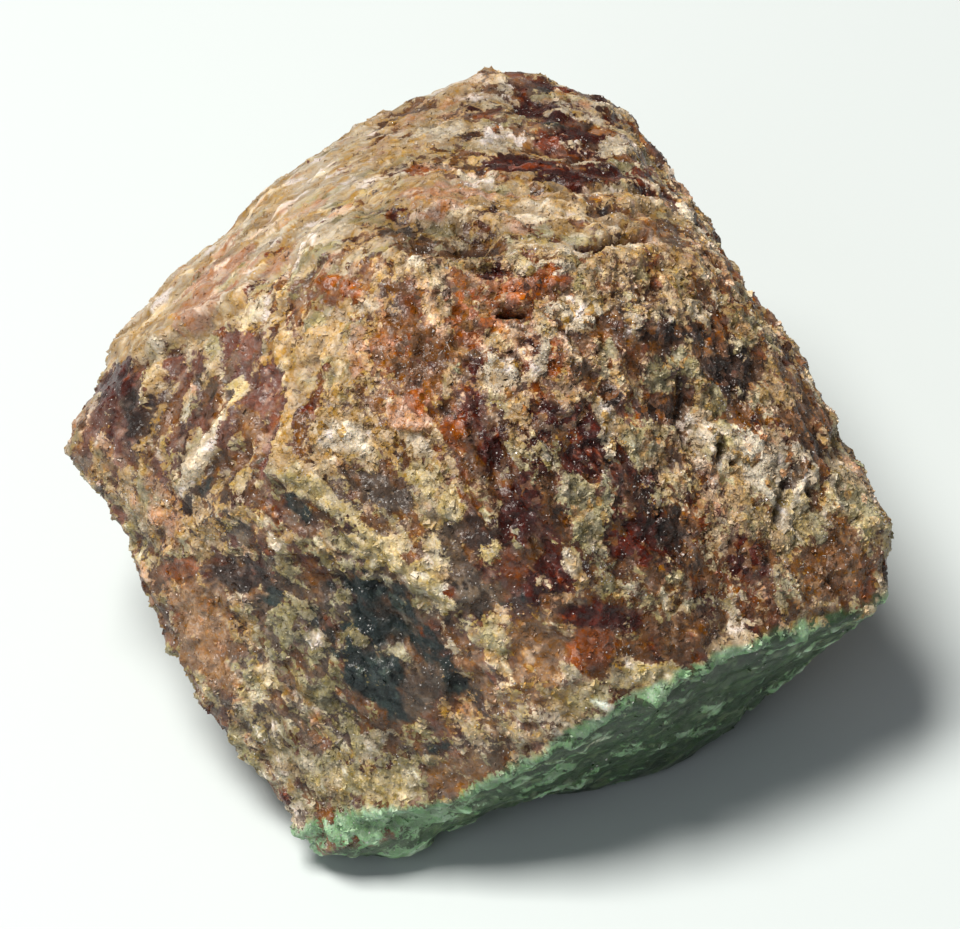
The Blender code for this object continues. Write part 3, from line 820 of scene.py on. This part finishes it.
def pressed_onto(directions, quads, solid):
    """The grid's points on the solid: a shell of radius REACH is projected inwards, then evened out."""
    shell = mesh_piece("press_shell", BLOCK_CENTRE + directions * REACH, quads, None)
    wrap = shell.modifiers.new("press", "SHRINKWRAP")
    wrap.target = solid
    wrap.wrap_method = "PROJECT"
    wrap.use_positive_direction = False
    wrap.use_negative_direction = True
    even = shell.modifiers.new("even", "SMOOTH")
    even.factor = SMOOTHING_FACTOR
    even.iterations = SMOOTHING_STEPS
    graph = bpy.context.evaluated_depsgraph_get()
    pressed = shell.evaluated_get(graph).to_mesh()
    points = np.empty(len(pressed.vertices) * 3, np.float32)
    pressed.vertices.foreach_get("co", points)
    bpy.data.objects.remove(shell, do_unlink=True)
    return points.reshape(-1, 3).astype(float) / MM


def surface_normals(points, quads):
    """Outward direction at each point: the sum of the cross products of its quads' diagonals."""
    a, b, c, d = (points[quads[:, k]] for k in range(4))
    cross = np.cross(c - a, d - b)
    total = np.zeros_like(points)
    for k in range(4):
        for axis in range(3):
            total[:, axis] += np.bincount(quads[:, k], cross[:, axis], len(points))
    return unit(total)


def evened(values, quads, times):
    """Values smoothed over the grid: each becomes the mean of the means of its quads, several times."""
    count = sum(np.bincount(quads[:, k], minlength=len(values)) for k in range(4))
    for _ in range(times):
        mean = values[quads].mean(1)
        values = sum(np.bincount(quads[:, k], mean, len(values)) for k in range(4)) / count
    return values


class Surface:
    """Points and quads of the block, with their normals, picture places and shares of each face."""

    def __init__(self, points, quads):
        self.points = points
        self.quads = quads
        self.normals = surface_normals(points, quads)
        self.picture, self.depth = on_picture(points)
        self.in_view = self.normals @ TO_CAMERA > LEAST_FACING
        facing = np.stack([self.normals @ unit(np.array(face[0])) for face in FACES.values()], -1)
        share = np.maximum(facing, 0.0) ** FACE_SHARPNESS
        self.face_share = share / np.maximum(share.sum(1, keepdims=True), 1e-9)
        self.chunks = {}

    def seat(self, pixel):
        """The surface point seen at a picture point."""
        gap = np.hypot(*(self.picture - pixel).T)
        near = np.where((gap < SEAT_PIXELS) & self.in_view)[0]
        if len(near) == 0:
            near = np.where(self.in_view)[0]
            near = near[np.argsort(gap[near])[:SEAT_CHOICES]]
        seen = near[self.depth[near] > self.depth[near].max() - SEAT_DEPTH]
        return self.points[seen[np.argmin(gap[seen])]]

    def inside_oval(self, pixel, size, lean, ragged, fade):
        """How far each point is inside an oval round the surface point seen at a picture point: 1 near its
        middle and 0 outside, fading between two shares of its size, with ragged added to the share."""
        return 1.0 - smooth_step(oval_distance(self.points, self.seat(pixel), size, lean) + ragged, *fade)

    def off_line(self, pixels):
        """Distance of each point from the line through the surface points seen at picture points."""
        return line_distance(self.points, np.array([self.seat(pixel) for pixel in pixels]))

    def by_face(self, pattern):
        """A pattern worked out on each face's streaked points and blended by the faces' shares."""
        total = np.zeros(len(self.points))
        for k, (_, direction, stretch, *_) in enumerate(FACES.values()):
            share = self.face_share[:, k]
            used = share > LEAST_SHARE
            total[used] += share[used] * pattern(streaked(self.points[used], direction, stretch), k)
        return total

    def by_chunk(self, size, pattern):
        """A pattern of the crystal chunks of that size, worked out on each face's streaked points and
        blended by the faces' shares. The pattern gets the way from each chunk's middle and its box."""
        total = np.zeros(len(self.points))
        if size not in self.chunks:
            self.chunks[size] = []
            for k, (_, direction, stretch, *_) in enumerate(FACES.values()):
                used = self.face_share[:, k] > LEAST_SHARE
                place = streaked(self.points[used], direction, min(stretch, CHUNK_STRETCH))
                way, _, owner = scattered_cells(place, size, SEEDS["chunks"] + k)
                self.chunks[size].append((used, way, owner))
        for k, (used, way, owner) in enumerate(self.chunks[size]):
            total[used] += self.face_share[used, k] * pattern(way, owner)
        return total

    def face_value(self, column):
        """One number of the faces' table, blended by the faces' shares."""
        return self.face_share @ np.array([face[column] for face in FACES.values()])


def oval_distance(points, seat, size, lean):
    """How far points lie from an oval's middle, as a share of its half length or half width: 1 on its
    rim. The oval is as it looks in the picture, its long axis leaning by that angle, and it fades out
    in depth at DEPTH_REACH times its half length."""
    angle = math.radians(lean)
    along = math.cos(angle) * RIGHT + math.sin(angle) * UP
    across = math.cos(angle) * UP - math.sin(angle) * RIGHT
    away = points - seat
    reach = DEPTH_REACH * max(size) / 2
    parts = (away @ along / (size[0] / 2), away @ across / (size[1] / 2), away @ TO_CAMERA / reach)
    return np.sqrt(sum(part**2 for part in parts))


def line_distance(points, corners):
    """Distance from points to a line through corners in order: the least of the distances to its
    straight parts."""
    least = np.full(len(points), np.inf)
    for start, end in zip(corners, corners[1:]):
        run = end - start
        share = np.clip((points - start) @ run / (run @ run), 0.0, 1.0)
        least = np.minimum(least, np.linalg.norm(points - start - share[:, None] * run, axis=1))
    return least


def streaked(points, direction, stretch):
    """Points squeezed along a direction, so that a pattern read there comes out stretched along it."""
    direction = unit(direction)
    return points - (1.0 - 1.0 / stretch) * (points @ direction)[:, None] * direction


def chip_height(way, owner, tilt, step):
    """A broken facet: one flat piece with its own slope, at its own height."""
    slope = random_triples(owner, SEEDS["chips"]) * 2.0 - 1.0
    return (way * slope).sum(1) * tilt + (lattice_random(owner, SEEDS["chips"] + 3) - 0.5) * step


def relief(surface, cover):
    """Height of the broken surface over the smooth block: chips, ribs along the streaks, named dents,
    crests along the edges, fine roughness, and the crust's rounded lumps and thickness."""
    points = surface.points
    height = np.zeros(len(points))
    grainy = LEAST_GRAINY + (1.0 - LEAST_GRAINY) * surface.face_value(SUGARINESS)
    for size, tilt, step in CHIP_LAYERS:
        chips = surface.by_chunk(size, lambda way, owner: chip_height(way, owner, tilt, step))
        height += chips * (grainy if size < SMALL_CHIPS else 1.0)
    height *= surface.face_value(CHIPPING)
    ribs = surface.by_face(lambda p, k: layered_cloud(p, RIB_SIZE, SEEDS["ribs"] + k))
    height += surface.face_value(RIB_RISE) * ribs
    height = evened(height, surface.quads, 1)
    ragged = PATCH_RAGGEDNESS * layered_cloud(points, DENT_EDGE_SIZE, SEEDS["dent_edges"])
    for pixel, size, lean, rise in DENTS.values():
        height += rise * surface.inside_oval(pixel, size, lean, DENT_RAGGEDNESS * ragged, DENT_FADE)
    for pixels, half_width, rise in CRESTS.values():
        crest = np.exp(-((surface.off_line(pixels) / half_width) ** 2))
        height += rise * crest * (1.0 + CREST_RAGGEDNESS * ragged)
    for layer, (size, rise) in enumerate(ROUGHNESS_LAYERS):
        height += rise * cloud(points, size, SEEDS["roughness"] + layer)
    crust = smooth_step(cover, *CRUST_FADE)
    crumbly = grainy * (LEAST_CRUMBS + (1.0 - LEAST_CRUMBS) * crust)
    for layer, (size, rise) in enumerate(CRUMB_LAYERS):
        _, gap, _ = scattered_cells(points, size, SEEDS["crumbs"] + layer)
        height += rise * crumbly * (smooth_step(gap, 0.0, CRUMB_SHOULDER * size) - CRUMB_MIDDLE)
    height += CRUST_RISE * crust
    return (height + RELIEF_OFFSET) * smooth_step(points[:, 2], *REST_BAND)


def mottling(surface, shares, seed):
    """A random pattern: coarse clouds that run on over all the faces, fine clouds that follow the streaks,
    and chunks of the three sizes, each times its share, added."""
    total = shares[0] * cloud(surface.points, CLOUD_SIZES[0], seed)
    total += shares[1] * surface.by_face(lambda p, k: cloud(p, CLOUD_SIZES[1], seed + 1 + k * 3))
    for size, share in zip(CHUNK_SIZES, shares[2:]):
        total += share * surface.by_chunk(size, lambda _, owner: lattice_random(owner, seed) * 2.0 - 1.0)
    return total


def show_patch(fields, name, inside):
    """Lets one mineral show wherever inside is 1: a crust mineral covers the glass, and a glass mineral
    lies bare."""
    fields[name] += PATCH_STRENGTH * inside
    fields["cover"] += (PATCH_CRUSTED if name in CRUST else PATCH_BARED) * inside


def mineral_fields(surface):
    """How strongly each mineral shows at each point, how far the crust covers it, and its tone: a level
    of its own, a random pattern, and what the faces, regions, patches and seams add. The tone multiplies
    colours, so it is e to the power of what was added. Some faces and regions add painted shade and
    painted light to it."""
    fields = {"cover": COVER_LEVEL + mottling(surface, COVER_SHARES, SEEDS["cover"])}
    fields["tone"] = mottling(surface, TONE_SHARES, SEEDS["tone"])
    for number, (name, (_, level)) in enumerate({**GLASS, **CRUST}.items()):
        seed = SEEDS["minerals"] + number * MINERAL_SEED_STEP
        fields[name] = level + mottling(surface, PATTERN_SHARES, seed)
    for face, added in FACE_MIXTURES.items():
        for name, level in added.items():
            fields[name] += level * surface.face_share[:, list(FACES).index(face)]
    for pixel, size, lean, added in REGIONS.values():
        inside = surface.inside_oval(pixel, size, lean, 0.0, REGION_FADE)
        for name, level in added.items():
            fields[name] += level * inside
    ragged = PATCH_RAGGEDNESS * layered_cloud(surface.points, PATCH_EDGE_SIZE, SEEDS["patch_edges"])
    ragged += PATCH_RAGGEDNESS / 2 * cloud(surface.points, PATCH_OUTLINE_SIZE, SEEDS["patch_outlines"])
    ragged += mottling(surface, EDGE_SHARES, SEEDS["patch_chunks"])
    for name, pixel, size, lean in PATCHES.values():
        show_patch(fields, name, surface.inside_oval(pixel, size, lean, ragged, PATCH_FADE))
    for name, pixels, half_width, wander in SEAMS.values():
        distance = surface.off_line(pixels) / half_width + wander * ragged
        show_patch(fields, name, 1.0 - smooth_step(distance, *SEAM_FADE))
    fields["tone"] = np.exp(fields["tone"])
    return fields


def palette_of(table):
    """A table's colours as an array: mineral, colour from common to rare, and red, green and blue."""
    return np.array([[rgb(colour) for colour in colours] for colours, _ in table.values()])


def tone_choice(pick):
    """Which of a mineral's four colours a pick from 0 to 1 gives: the common ones more often."""
    return np.searchsorted(COLOUR_LIMITS, pick)


def blended_colours(fields, table, pick, second=False):
    """The minerals of a table mixed at each point, each weighing e to the power of its strength times
    BLEND_SHARPNESS, so that the strongest counts most. With second, the strongest is left out."""
    strength = np.stack([fields[name] for name in table], -1)
    if second:
        np.put_along_axis(strength, strength.argmax(1)[:, None], LEFT_OUT, 1)
    weight = np.exp(BLEND_SHARPNESS * (strength - strength.max(1, keepdims=True)))
    weight /= weight.sum(1, keepdims=True)
    tones = palette_of(table)[:, tone_choice(pick)]
    return np.einsum("nk,knc->nc", weight, tones)


def scattered_on(surface, density, count, chance):
    """Seats spread over the quads in proportion to area and density: each is a random blend of its
    quad's corners."""
    a, b, c, d = (surface.points[surface.quads[:, k]] for k in range(4))
    area = np.linalg.norm(np.cross(c - a, d - b), axis=1) / 2
    weight = area * density[surface.quads].mean(1)
    edges = np.cumsum(weight) / weight.sum()
    quad = np.searchsorted(edges, chance.random(count)).clip(0, len(edges) - 1)
    s, t = chance.random((2, count))
    blend = np.stack([(1 - s) * (1 - t), s * (1 - t), s * t, (1 - s) * t], -1)
    corner = surface.quads[quad]
    return lambda values: np.einsum("nk,nk...->n...", blend, values[corner])


# A square's corners in turn, and the corners and faces of a box, which a small crystal starts from.
SQUARE = np.array([[-1.0, -1.0], [1.0, -1.0], [1.0, 1.0], [-1.0, 1.0]])
BOX = np.array(list(np.ndindex(2, 2, 2)), float) * 2 - 1
BOX_FACES = np.array([[4, 6, 7, 5], [0, 1, 3, 2], [2, 3, 7, 6], [0, 4, 5, 1], [1, 5, 7, 3], [0, 2, 6, 4]])


def grain_mesh(seats, normals, sizes, chance):
    """Small crystals, one at each seat: a box's corners, pulled about at random and narrowed at the top,
    then sunk in the surface with a random lean and turn."""
    count = len(seats)
    corners = BOX + chance.uniform(-GRAIN_PULL, GRAIN_PULL, (count, len(BOX), 3))
    corners[:, BOX[:, 2] > 0, :2] *= chance.uniform(*GRAIN_TOPS, (count, 1, 1))
    corners *= chance.uniform(*GRAIN_ASPECTS, (count, 1, 3)) * np.array([1.0, 1.0, GRAIN_THICKNESS])
    corners *= (GRAIN_FILL * sizes / 2)[:, None, None]
    up = unit(normals + GRAIN_TILT * chance.normal(size=(count, 3)))
    along = unit(np.cross(up, chance.normal(size=(count, 3))))
    frame_axes = np.stack([along, np.cross(up, along), up], 1)
    centres = seats + normals * (sizes * GRAIN_STAND)[:, None]
    points = centres[:, None] + np.einsum("nij,njk->nik", corners, frame_axes)
    points[..., 2] = np.maximum(points[..., 2], 0.0)
    faces = (np.arange(count) * len(BOX))[:, None, None] + BOX_FACES
    return points.reshape(-1, 3), faces.reshape(-1, 4)


def grain_map(count):
    """Every grain has its own small square of the map, which each of its faces fills."""
    per_row = math.ceil(math.sqrt(count))
    number = np.arange(count)
    middle = (np.stack([number % per_row, number // per_row], -1) + 0.5) / per_row
    square = MAP_SQUARE * SQUARE / per_row
    return np.repeat(middle[:, None] + square, len(BOX_FACES), axis=0).reshape(-1, 2)


def output_of(tree, text):
    """The output that a text such as place.Object names, by its node's name and its own name or number."""
    node, output = text.split(".")
    return tree.nodes[node].outputs[int(output) if output.isdigit() else output]


def add_node(tree, name, kind, settings, links):
    """Adds a node of that kind and name. Settings are values of its attributes or inputs, and links are
    the outputs that feed its inputs, each by the attribute's or input's name or number."""
    node = tree.nodes.new("ShaderNode" + kind)
    node.name = name
    for place, value in settings.items():
        if str(place) in node.bl_rna.properties:
            setattr(node, place, value)
        else:
            node.inputs[place].default_value = value
    for place, source in links.items():
        tree.links.new(output_of(tree, source), node.inputs[place])


def new_material(name, constants, nodes, shown):
    """A node material whose Principled shader has some constant values and is fed, input by input, by the
    outputs shown of the nodes added to it."""
    material = bpy.data.materials.new(name)
    material.use_nodes = True
    tree = material.node_tree
    surface = tree.nodes["Principled BSDF"]
    for place, value in constants.items():
        surface.inputs[place].default_value = value
    for node in nodes:
        add_node(tree, *node)
    for place, source in shown.items():
        tree.links.new(output_of(tree, source), surface.inputs[place])
    return material


# The names that a piece's looks are stored under, and settings that many nodes share.
LOOKS = ("glass_colour", "glass_second", "crust_colour", "crust_second", "crust_cover", "sugariness")
ADD, TIMES, TIMES_ADD = ({"operation": name} for name in ("ADD", "MULTIPLY", "MULTIPLY_ADD"))
MINUS, DOT = {"operation": "SUBTRACT"}, {"operation": "DOT_PRODUCT"}
COLOURS = {"data_type": "RGBA"}  # a Mix of colours: share is input 0, colours are 6 and 7, result is 2
AT_PLACE = {"Vector": "place.Object"}

# Where the garnet's patterns are read, and the patterns: ragged and fine noise, and two sizes of crystal,
# each crystal with random numbers of its own.
PATTERN_NODES = (
    ("place", "TexCoord", {}, {}),
    ("warp", "TexNoise", {"Scale": 1 / (WARP_SIZE * MM), "Detail": 2.0}, AT_PLACE),
    ("warped", "VectorMath", TIMES_ADD | {1: (WARP_REACH * MM,) * 3}, {0: "warp.Color", 2: "place.Object"}),
    ("ragged", "TexNoise", {"Scale": 1 / (RAGGED_SIZE * MM), "Detail": 5.0, "Roughness": 0.72}, AT_PLACE),
    ("fine", "TexNoise", {"Scale": 1 / (FINE_SIZE * MM), "Detail": 3.0, "Roughness": 0.6}, AT_PLACE),
    ("crystals", "TexVoronoi", {"Scale": 1 / (CRYSTAL_SIZE * MM)}, {"Vector": "warped.Vector"}),
    ("sugar", "TexVoronoi", {"Scale": 1 / (SUGAR_SIZE * MM)}, {"Vector": "warped.Vector"}),
    ("crystal", "SeparateColor", {}, {"Color": "crystals.Color"}),
    ("grain", "SeparateColor", {}, {"Color": "sugar.Color"}),
)

# The crust's edge: its cover, made ragged by noise, crystals and grains, then cut off sharply.
EDGE_NODES = (
    ("level", "Math", TIMES_ADD | {1: 0.55}, {0: "crust_cover.Fac", 2: "ragged.Fac"}),
    ("by_crystal", "MapRange", {"To Min": -0.11, "To Max": 0.11}, {"Value": "crystal.Red"}),
    ("by_grain", "MapRange", {"To Min": -0.09, "To Max": 0.09}, {"Value": "grain.Red"}),
    ("level_by_crystal", "Math", ADD, {0: "level.Value", 1: "by_crystal.Result"}),
    ("level_by_grain", "Math", ADD, {0: "level_by_crystal.Value", 1: "by_grain.Result"}),
    ("crusted", "MapRange", {"From Min": 0.72, "From Max": 0.83}, {"Value": "level_by_grain.Value"}),
)

# Some crystals are of the second mineral, in the glass and in the crust.
SECOND_NODES = (
    ("odd_glass", "Math", TIMES, {0: "crystal.Green", 1: "sugariness.Fac"}),
    ("odd_crust", "Math", TIMES, {0: "crystal.Blue", 1: "sugariness.Fac"}),
    ("swap_glass", "MapRange", {"From Min": 0.66, "From Max": 0.78}, {"Value": "odd_glass.Value"}),
    ("swap_crust", "MapRange", {"From Min": 0.66, "From Max": 0.78}, {"Value": "odd_crust.Value"}),
    ("glass", "Mix", COLOURS, {0: "swap_glass.Result", 6: "glass_colour.Color", 7: "glass_second.Color"}),
    ("crust", "Mix", COLOURS, {0: "swap_crust.Result", 6: "crust_colour.Color", 7: "crust_second.Color"}),
)

# Each grain has a tone and richness of its own, and a sugary grain a darker rim. Then crystals and fine
# noise shade glass and crust alike, most where the face is sugary.
TONE_NODES = (
    ("speckle", "MapRange", {"To Min": -0.18, "To Max": 0.18}, {"Value": "grain.Green"}),
    ("rim", "MapRange", {"From Min": 0.40, "From Max": 0.80, "To Max": -0.22}, {"Value": "sugar.Distance"}),
    ("rimmed", "Math", ADD, {0: "speckle.Result", 1: "rim.Result"}),
    ("crust_tone", "Math", TIMES_ADD | {2: 1.0}, {0: "rimmed.Value", 1: "sugariness.Fac"}),
    ("glass_tone", "MapRange", {"To Min": 0.84, "To Max": 1.16}, {"Value": "grain.Blue"}),
    ("richness", "MapRange", {"To Min": 0.80, "To Max": 1.12}, {"Value": "grain.Red"}),
    (
        "toned_glass",
        "HueSaturation",
        {},
        {"Color": "glass.2", "Value": "glass_tone.Result", "Saturation": "richness.Result"},
    ),
    (
        "toned_crust",
        "HueSaturation",
        {},
        {"Color": "crust.2", "Value": "crust_tone.Value", "Saturation": "richness.Result"},
    ),
    ("mixed", "Mix", COLOURS, {0: "crusted.Result", 6: "toned_glass.Color", 7: "toned_crust.Color"}),
    ("crystal_tone", "MapRange", {"To Min": -0.10, "To Max": 0.10}, {"Value": "crystal.Red"}),
    (
        "fine_tone",
        "MapRange",
        {"From Min": 0.3, "From Max": 0.7, "To Min": -0.19, "To Max": 0.19},
        {"Value": "fine.Fac"},
    ),
    ("both_tones", "Math", ADD, {0: "crystal_tone.Result", 1: "fine_tone.Result"}),
    ("tone_share", "MapRange", {"To Min": 0.35}, {"Value": "sugariness.Fac"}),
    ("tone", "Math", TIMES_ADD | {2: 1.0}, {0: "both_tones.Value", 1: "tone_share.Result"}),
    ("tone_richness", "MapRange", {"To Min": 0.80, "To Max": 1.15}, {"Value": "crystal.Blue"}),
    (
        "colour",
        "HueSaturation",
        {},
        {"Color": "mixed.2", "Value": "tone.Value", "Saturation": "tone_richness.Result"},
    ),
)

# The finest relief: facets of both sizes, the crust's grains and fine noise.
HEIGHT_NODES = (
    ("facets", "Math", ADD, {0: "crystals_height.Value", 1: "sugar_height.Value"}),
    ("sugar_rise", "Math", TIMES, {0: "crusted.Result", 1: "crust_tone.Value"}),
    ("sugared", "Math", TIMES_ADD | {1: SUGAR_RISE * MM}, {0: "sugar_rise.Value", 2: "facets.Value"}),
    ("height", "Math", TIMES_ADD | {1: FINE_RISE * MM}, {0: "fine.Fac", 2: "sugared.Value"}),
    ("bump", "Bump", {"Strength": 1.0, "Distance": 1.0}, {"Height": "height.Value"}),
)


def facet_nodes(cells, steepness):
    """Nodes for the flat faces of single crystals: the height is the way from the crystal's seat along a
    slope of its own, which its random colour gives, and is steeper where the face is sugary."""
    slope, way, leaning, share, height = (
        f"{cells}_{part}" for part in ("slope", "way", "leaning", "share", "height")
    )
    return (
        (slope, "VectorMath", MINUS | {1: (0.5, 0.5, 0.5)}, {0: f"{cells}.Color"}),
        (way, "VectorMath", MINUS, {0: "warped.Vector", 1: f"{cells}.Position"}),
        (leaning, "VectorMath", DOT, {0: f"{way}.Vector", 1: f"{slope}.Vector"}),
        (share, "MapRange", {"To Max": steepness}, {"Value": "sugariness.Fac"}),
        (height, "Math", TIMES, {0: f"{leaning}.Value", 1: f"{share}.Result"}),
    )


def garnet_material(name):
    """Garnet crystals grown together, broken and weathered, some glassy and some sugary. To the eye they
    are soft-edged spots a little different in tone: the glassy ones are dark and gleam softly, and the
    sugary ones are a fine pale speckle."""
    glass_roughness, crust_roughness, gloss, glow = GARNETS[name]
    stored = ((look, "Attribute", {"attribute_name": look}, {}) for look in LOOKS)
    facets = facet_nodes("crystals", CRYSTAL_SLOPE) + facet_nodes("sugar", SUGAR_SLOPE)
    polish = {"To Min": glass_roughness, "To Max": crust_roughness}
    constants = {
        "IOR": GARNET_IOR,
        "Specular IOR Level": gloss,
        "Subsurface Weight": glow,
        "Subsurface Radius": GLOW_RADIUS,
        "Subsurface Scale": GLOW_DEPTH * MM,
    }
    nodes = (
        *stored,
        *PATTERN_NODES,
        *EDGE_NODES,
        *SECOND_NODES,
        *TONE_NODES,
        *facets,
        *HEIGHT_NODES,
        ("polish", "MapRange", polish, {"Value": "crusted.Result"}),
    )
    shown = {"Base Color": "colour.Color", "Roughness": "polish.Result", "Normal": "bump.Normal"}
    return new_material(name, constants, nodes, shown)


def speck_material():
    """Specks whose pale colour is painted glints: tiny, hard and bright, each a little different in tone.
    """
    dark, pale = ((*rgb(colour), 1.0) for colour in SPECK_PAINTED_GLINT_COLOURS)
    nodes = (
        ("place", "TexCoord", {}, {}),
        ("cloudy", "TexNoise", {"Scale": 1 / (CLOUDY_SIZE * MM), "Detail": 2.0}, AT_PLACE),
        ("tone", "Mix", COLOURS | {6: dark, 7: pale}, {0: "cloudy.Fac"}),
    )
    constants = {"Roughness": QUARTZ_ROUGHNESS, "IOR": QUARTZ_IOR}
    return new_material("pale_specks_painted_glints", constants, nodes, {"Base Color": "tone.2"})


def floor_material():
    """Matt pale card."""
    constants = {"Base Color": (*rgb(CARD_COLOUR), 1.0), "Roughness": CARD_ROUGHNESS}
    return new_material("pale_card", constants, (), {})


def set_piece(piece):
    """Every piece belongs to the crystal: it hangs under the crystal's root."""
    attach(piece, "root")


def make_block():
    """The block's surface with its relief, minerals and map. Returns the worked Surface and its looks: the
    colours of glass and crust, with painted shade in hollows and on some faces, the second ones of single
    crystals, the cover and how sugary it is."""
    directions, quads, places = direction_grid(GRID_STEPS)
    directions = unit(directions + FRONT_BIAS * TO_CAMERA)
    surface = Surface(pressed_onto(directions, quads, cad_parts["garnet_crystal"]), quads)
    fields = mineral_fields(surface)
    height = relief(surface, fields["cover"])
    points = surface.points + surface.normals * height[:, None]
    points[:, 2] = np.maximum(points[:, 2], 0.0)
    piece = mesh_piece("garnet_block", points, quads, garnet_material("massive_garnet_broken"))
    add_map(piece, places)
    # Painted shade: colours are darkened in hollows, by their depth below the evened surface, and redder
    # there; the tone they are multiplied by adds painted shade and light of some faces and regions.
    depth = height - evened(height, quads, SHADE_EVENING)
    sunk = np.clip(1.0 + SHADE_DEPTH * depth, *SHADE_LIMITS)
    shade = fields["tone"][:, None] * sunk[:, None] ** np.array(SHADE_POWERS)
    pick = 0.5 + 0.5 * mottling(surface, PICK_SHARES, SEEDS["pick"])
    looks = {
        "glass_colour": blended_colours(fields, GLASS, pick) * shade,
        "crust_colour": blended_colours(fields, CRUST, pick) * shade,
        "glass_second": blended_colours(fields, GLASS, pick, True) * shade,
        "crust_second": blended_colours(fields, CRUST, pick, True) * shade,
        "crust_cover": np.clip(fields["cover"], *COVER_LIMITS),
        "sugariness": surface.face_value(SUGARINESS),
    }
    add_looks(piece, looks)
    set_piece(piece)
    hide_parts("garnet_crystal")
    return Surface(points, quads), looks


def make_grains(name, seed, surface, looks, density, size_range, count, material):
    """One joined mesh of crystals that show what the block shows under them, each a little lighter or
    darker. Sizes are spread about their median by a normal curve of their logarithms."""
    chance = np.random.default_rng(seed)
    off_the_foot = smooth_step(surface.points[:, 2], *FOOT_BAND)
    at_seats = scattered_on(surface, density * off_the_foot, count, chance)
    median, spread, limits = size_range
    sizes = (median * np.exp(chance.normal(0.0, spread, count))).clip(*limits)
    points, faces = grain_mesh(at_seats(surface.points), unit(at_seats(surface.normals)), sizes, chance)
    piece = mesh_piece(name, points, faces, material)
    piece.data.shade_flat()
    shade = chance.uniform(*GRAIN_SHADES, (count, 1))
    seen = {look: at_seats(values) for look, values in looks.items()}
    seen = {look: values * shade if values.ndim == 2 else values for look, values in seen.items()}
    add_looks(piece, {look: np.repeat(values, len(BOX), axis=0) for look, values in seen.items()})
    add_map(piece, grain_map(count))
    set_piece(piece)


def make_crust(surface, looks):
    """The sugary crust in several pieces, a scatter of glassy garnet crystals, and pale specks in
    clusters, whose pale colour is painted glints. All are thickest where a face is sugary."""
    sugary = garnet_material("sugary_garnet_grains")
    glassy = garnet_material("glassy_garnet_grains")
    painted_glints = speck_material()
    crusted = smooth_step(looks["crust_cover"], *GRAIN_CRUST_FADE)
    sugariness = looks["sugariness"]
    density = (BARE_SUGAR + crusted) * sugariness
    for number in range(1, GRAIN_PIECES + 1):
        name = f"sugar_grains_{number}"
        seed = SEEDS["sugar_grains"] + number
        make_grains(name, seed, surface, looks, density, GRAIN_SIZES, GRAINS_PER_PIECE, sugary)
    density = (GLASS_ON_BARE - crusted) * sugariness
    seed = SEEDS["glass_grains"]
    make_grains("glass_grains", seed, surface, looks, density, GRAIN_SIZES, GLASS_GRAINS, glassy)
    clusters = cloud(surface.points, SPECK_CLOUD_SIZE, SEEDS["speck_clouds"])
    density = (LEAST_SPECKS + smooth_step(clusters, *SPECK_CLOUD_FADE)) * sugariness
    make_grains("specks_painted_glints", SEEDS["specks"], surface, {}, density, SPECK_SIZES, SPECKS, painted_glints)


def make_floor():
    """A wide flat sheet of card."""
    points = np.column_stack([FLOOR_HALF * SQUARE, np.zeros(4)])
    floor = mesh_piece("studio_floor", points, np.array([[0, 1, 2, 3]]), floor_material())


def make_light(name, direction, distance, size, power, colour):
    """A square lamp at that distance and direction from the crystal, facing it."""
    lamp = bpy.data.lights.new(name, "AREA")
    lamp.shape = "SQUARE"
    lamp.size = size * MM
    lamp.energy = power
    lamp.color = rgb(colour)
    thing = bpy.data.objects.new(name, lamp)
    direction = unit(np.array(direction))
    thing.location = (LOOK_AT + direction * distance) * MM
    thing.rotation_euler = turn_towards(direction)
    bpy.context.scene.collection.objects.link(thing)


def turn_towards(back):
    """The turn that makes an object's +Z point along a direction, its +X level."""
    tilt = math.acos(max(-1.0, min(1.0, float(back[2]))))
    heading = math.atan2(float(back[0]), -float(back[1]))
    return (tilt, 0.0, heading)


def make_camera():
    """The camera, at the view's direction and distance."""
    data = bpy.data.cameras.new("camera")
    data.sensor_width = SENSOR_WIDTH
    data.lens = VIEW_DISTANCE * SENSOR_WIDTH / (PICTURE_WIDTH * MM_PER_PIXEL)
    data.clip_start, data.clip_end = (distance * MM for distance in CLIP_DISTANCES)
    camera = bpy.data.objects.new("camera", data)
    camera.location = (LOOK_AT + TO_CAMERA * VIEW_DISTANCE) * MM
    camera.rotation_euler = turn_towards(TO_CAMERA)
    bpy.context.scene.collection.objects.link(camera)
    bpy.context.scene.camera = camera


def make_surroundings():
    """An even pale sky behind everything."""
    world = bpy.data.worlds.new("studio")
    world.use_nodes = True
    sky = world.node_tree.nodes["Background"]
    sky.inputs["Color"].default_value = (*rgb(SKY_COLOUR), 1.0)
    sky.inputs["Strength"].default_value = SKY_STRENGTH
    bpy.context.scene.world = world


make_camera()
make_surroundings()
for name, light in LIGHTS.items():
    make_light(name, *light)
make_floor()
bpy.context.scene.view_settings.view_transform = "Standard"

make_crust(*make_block())
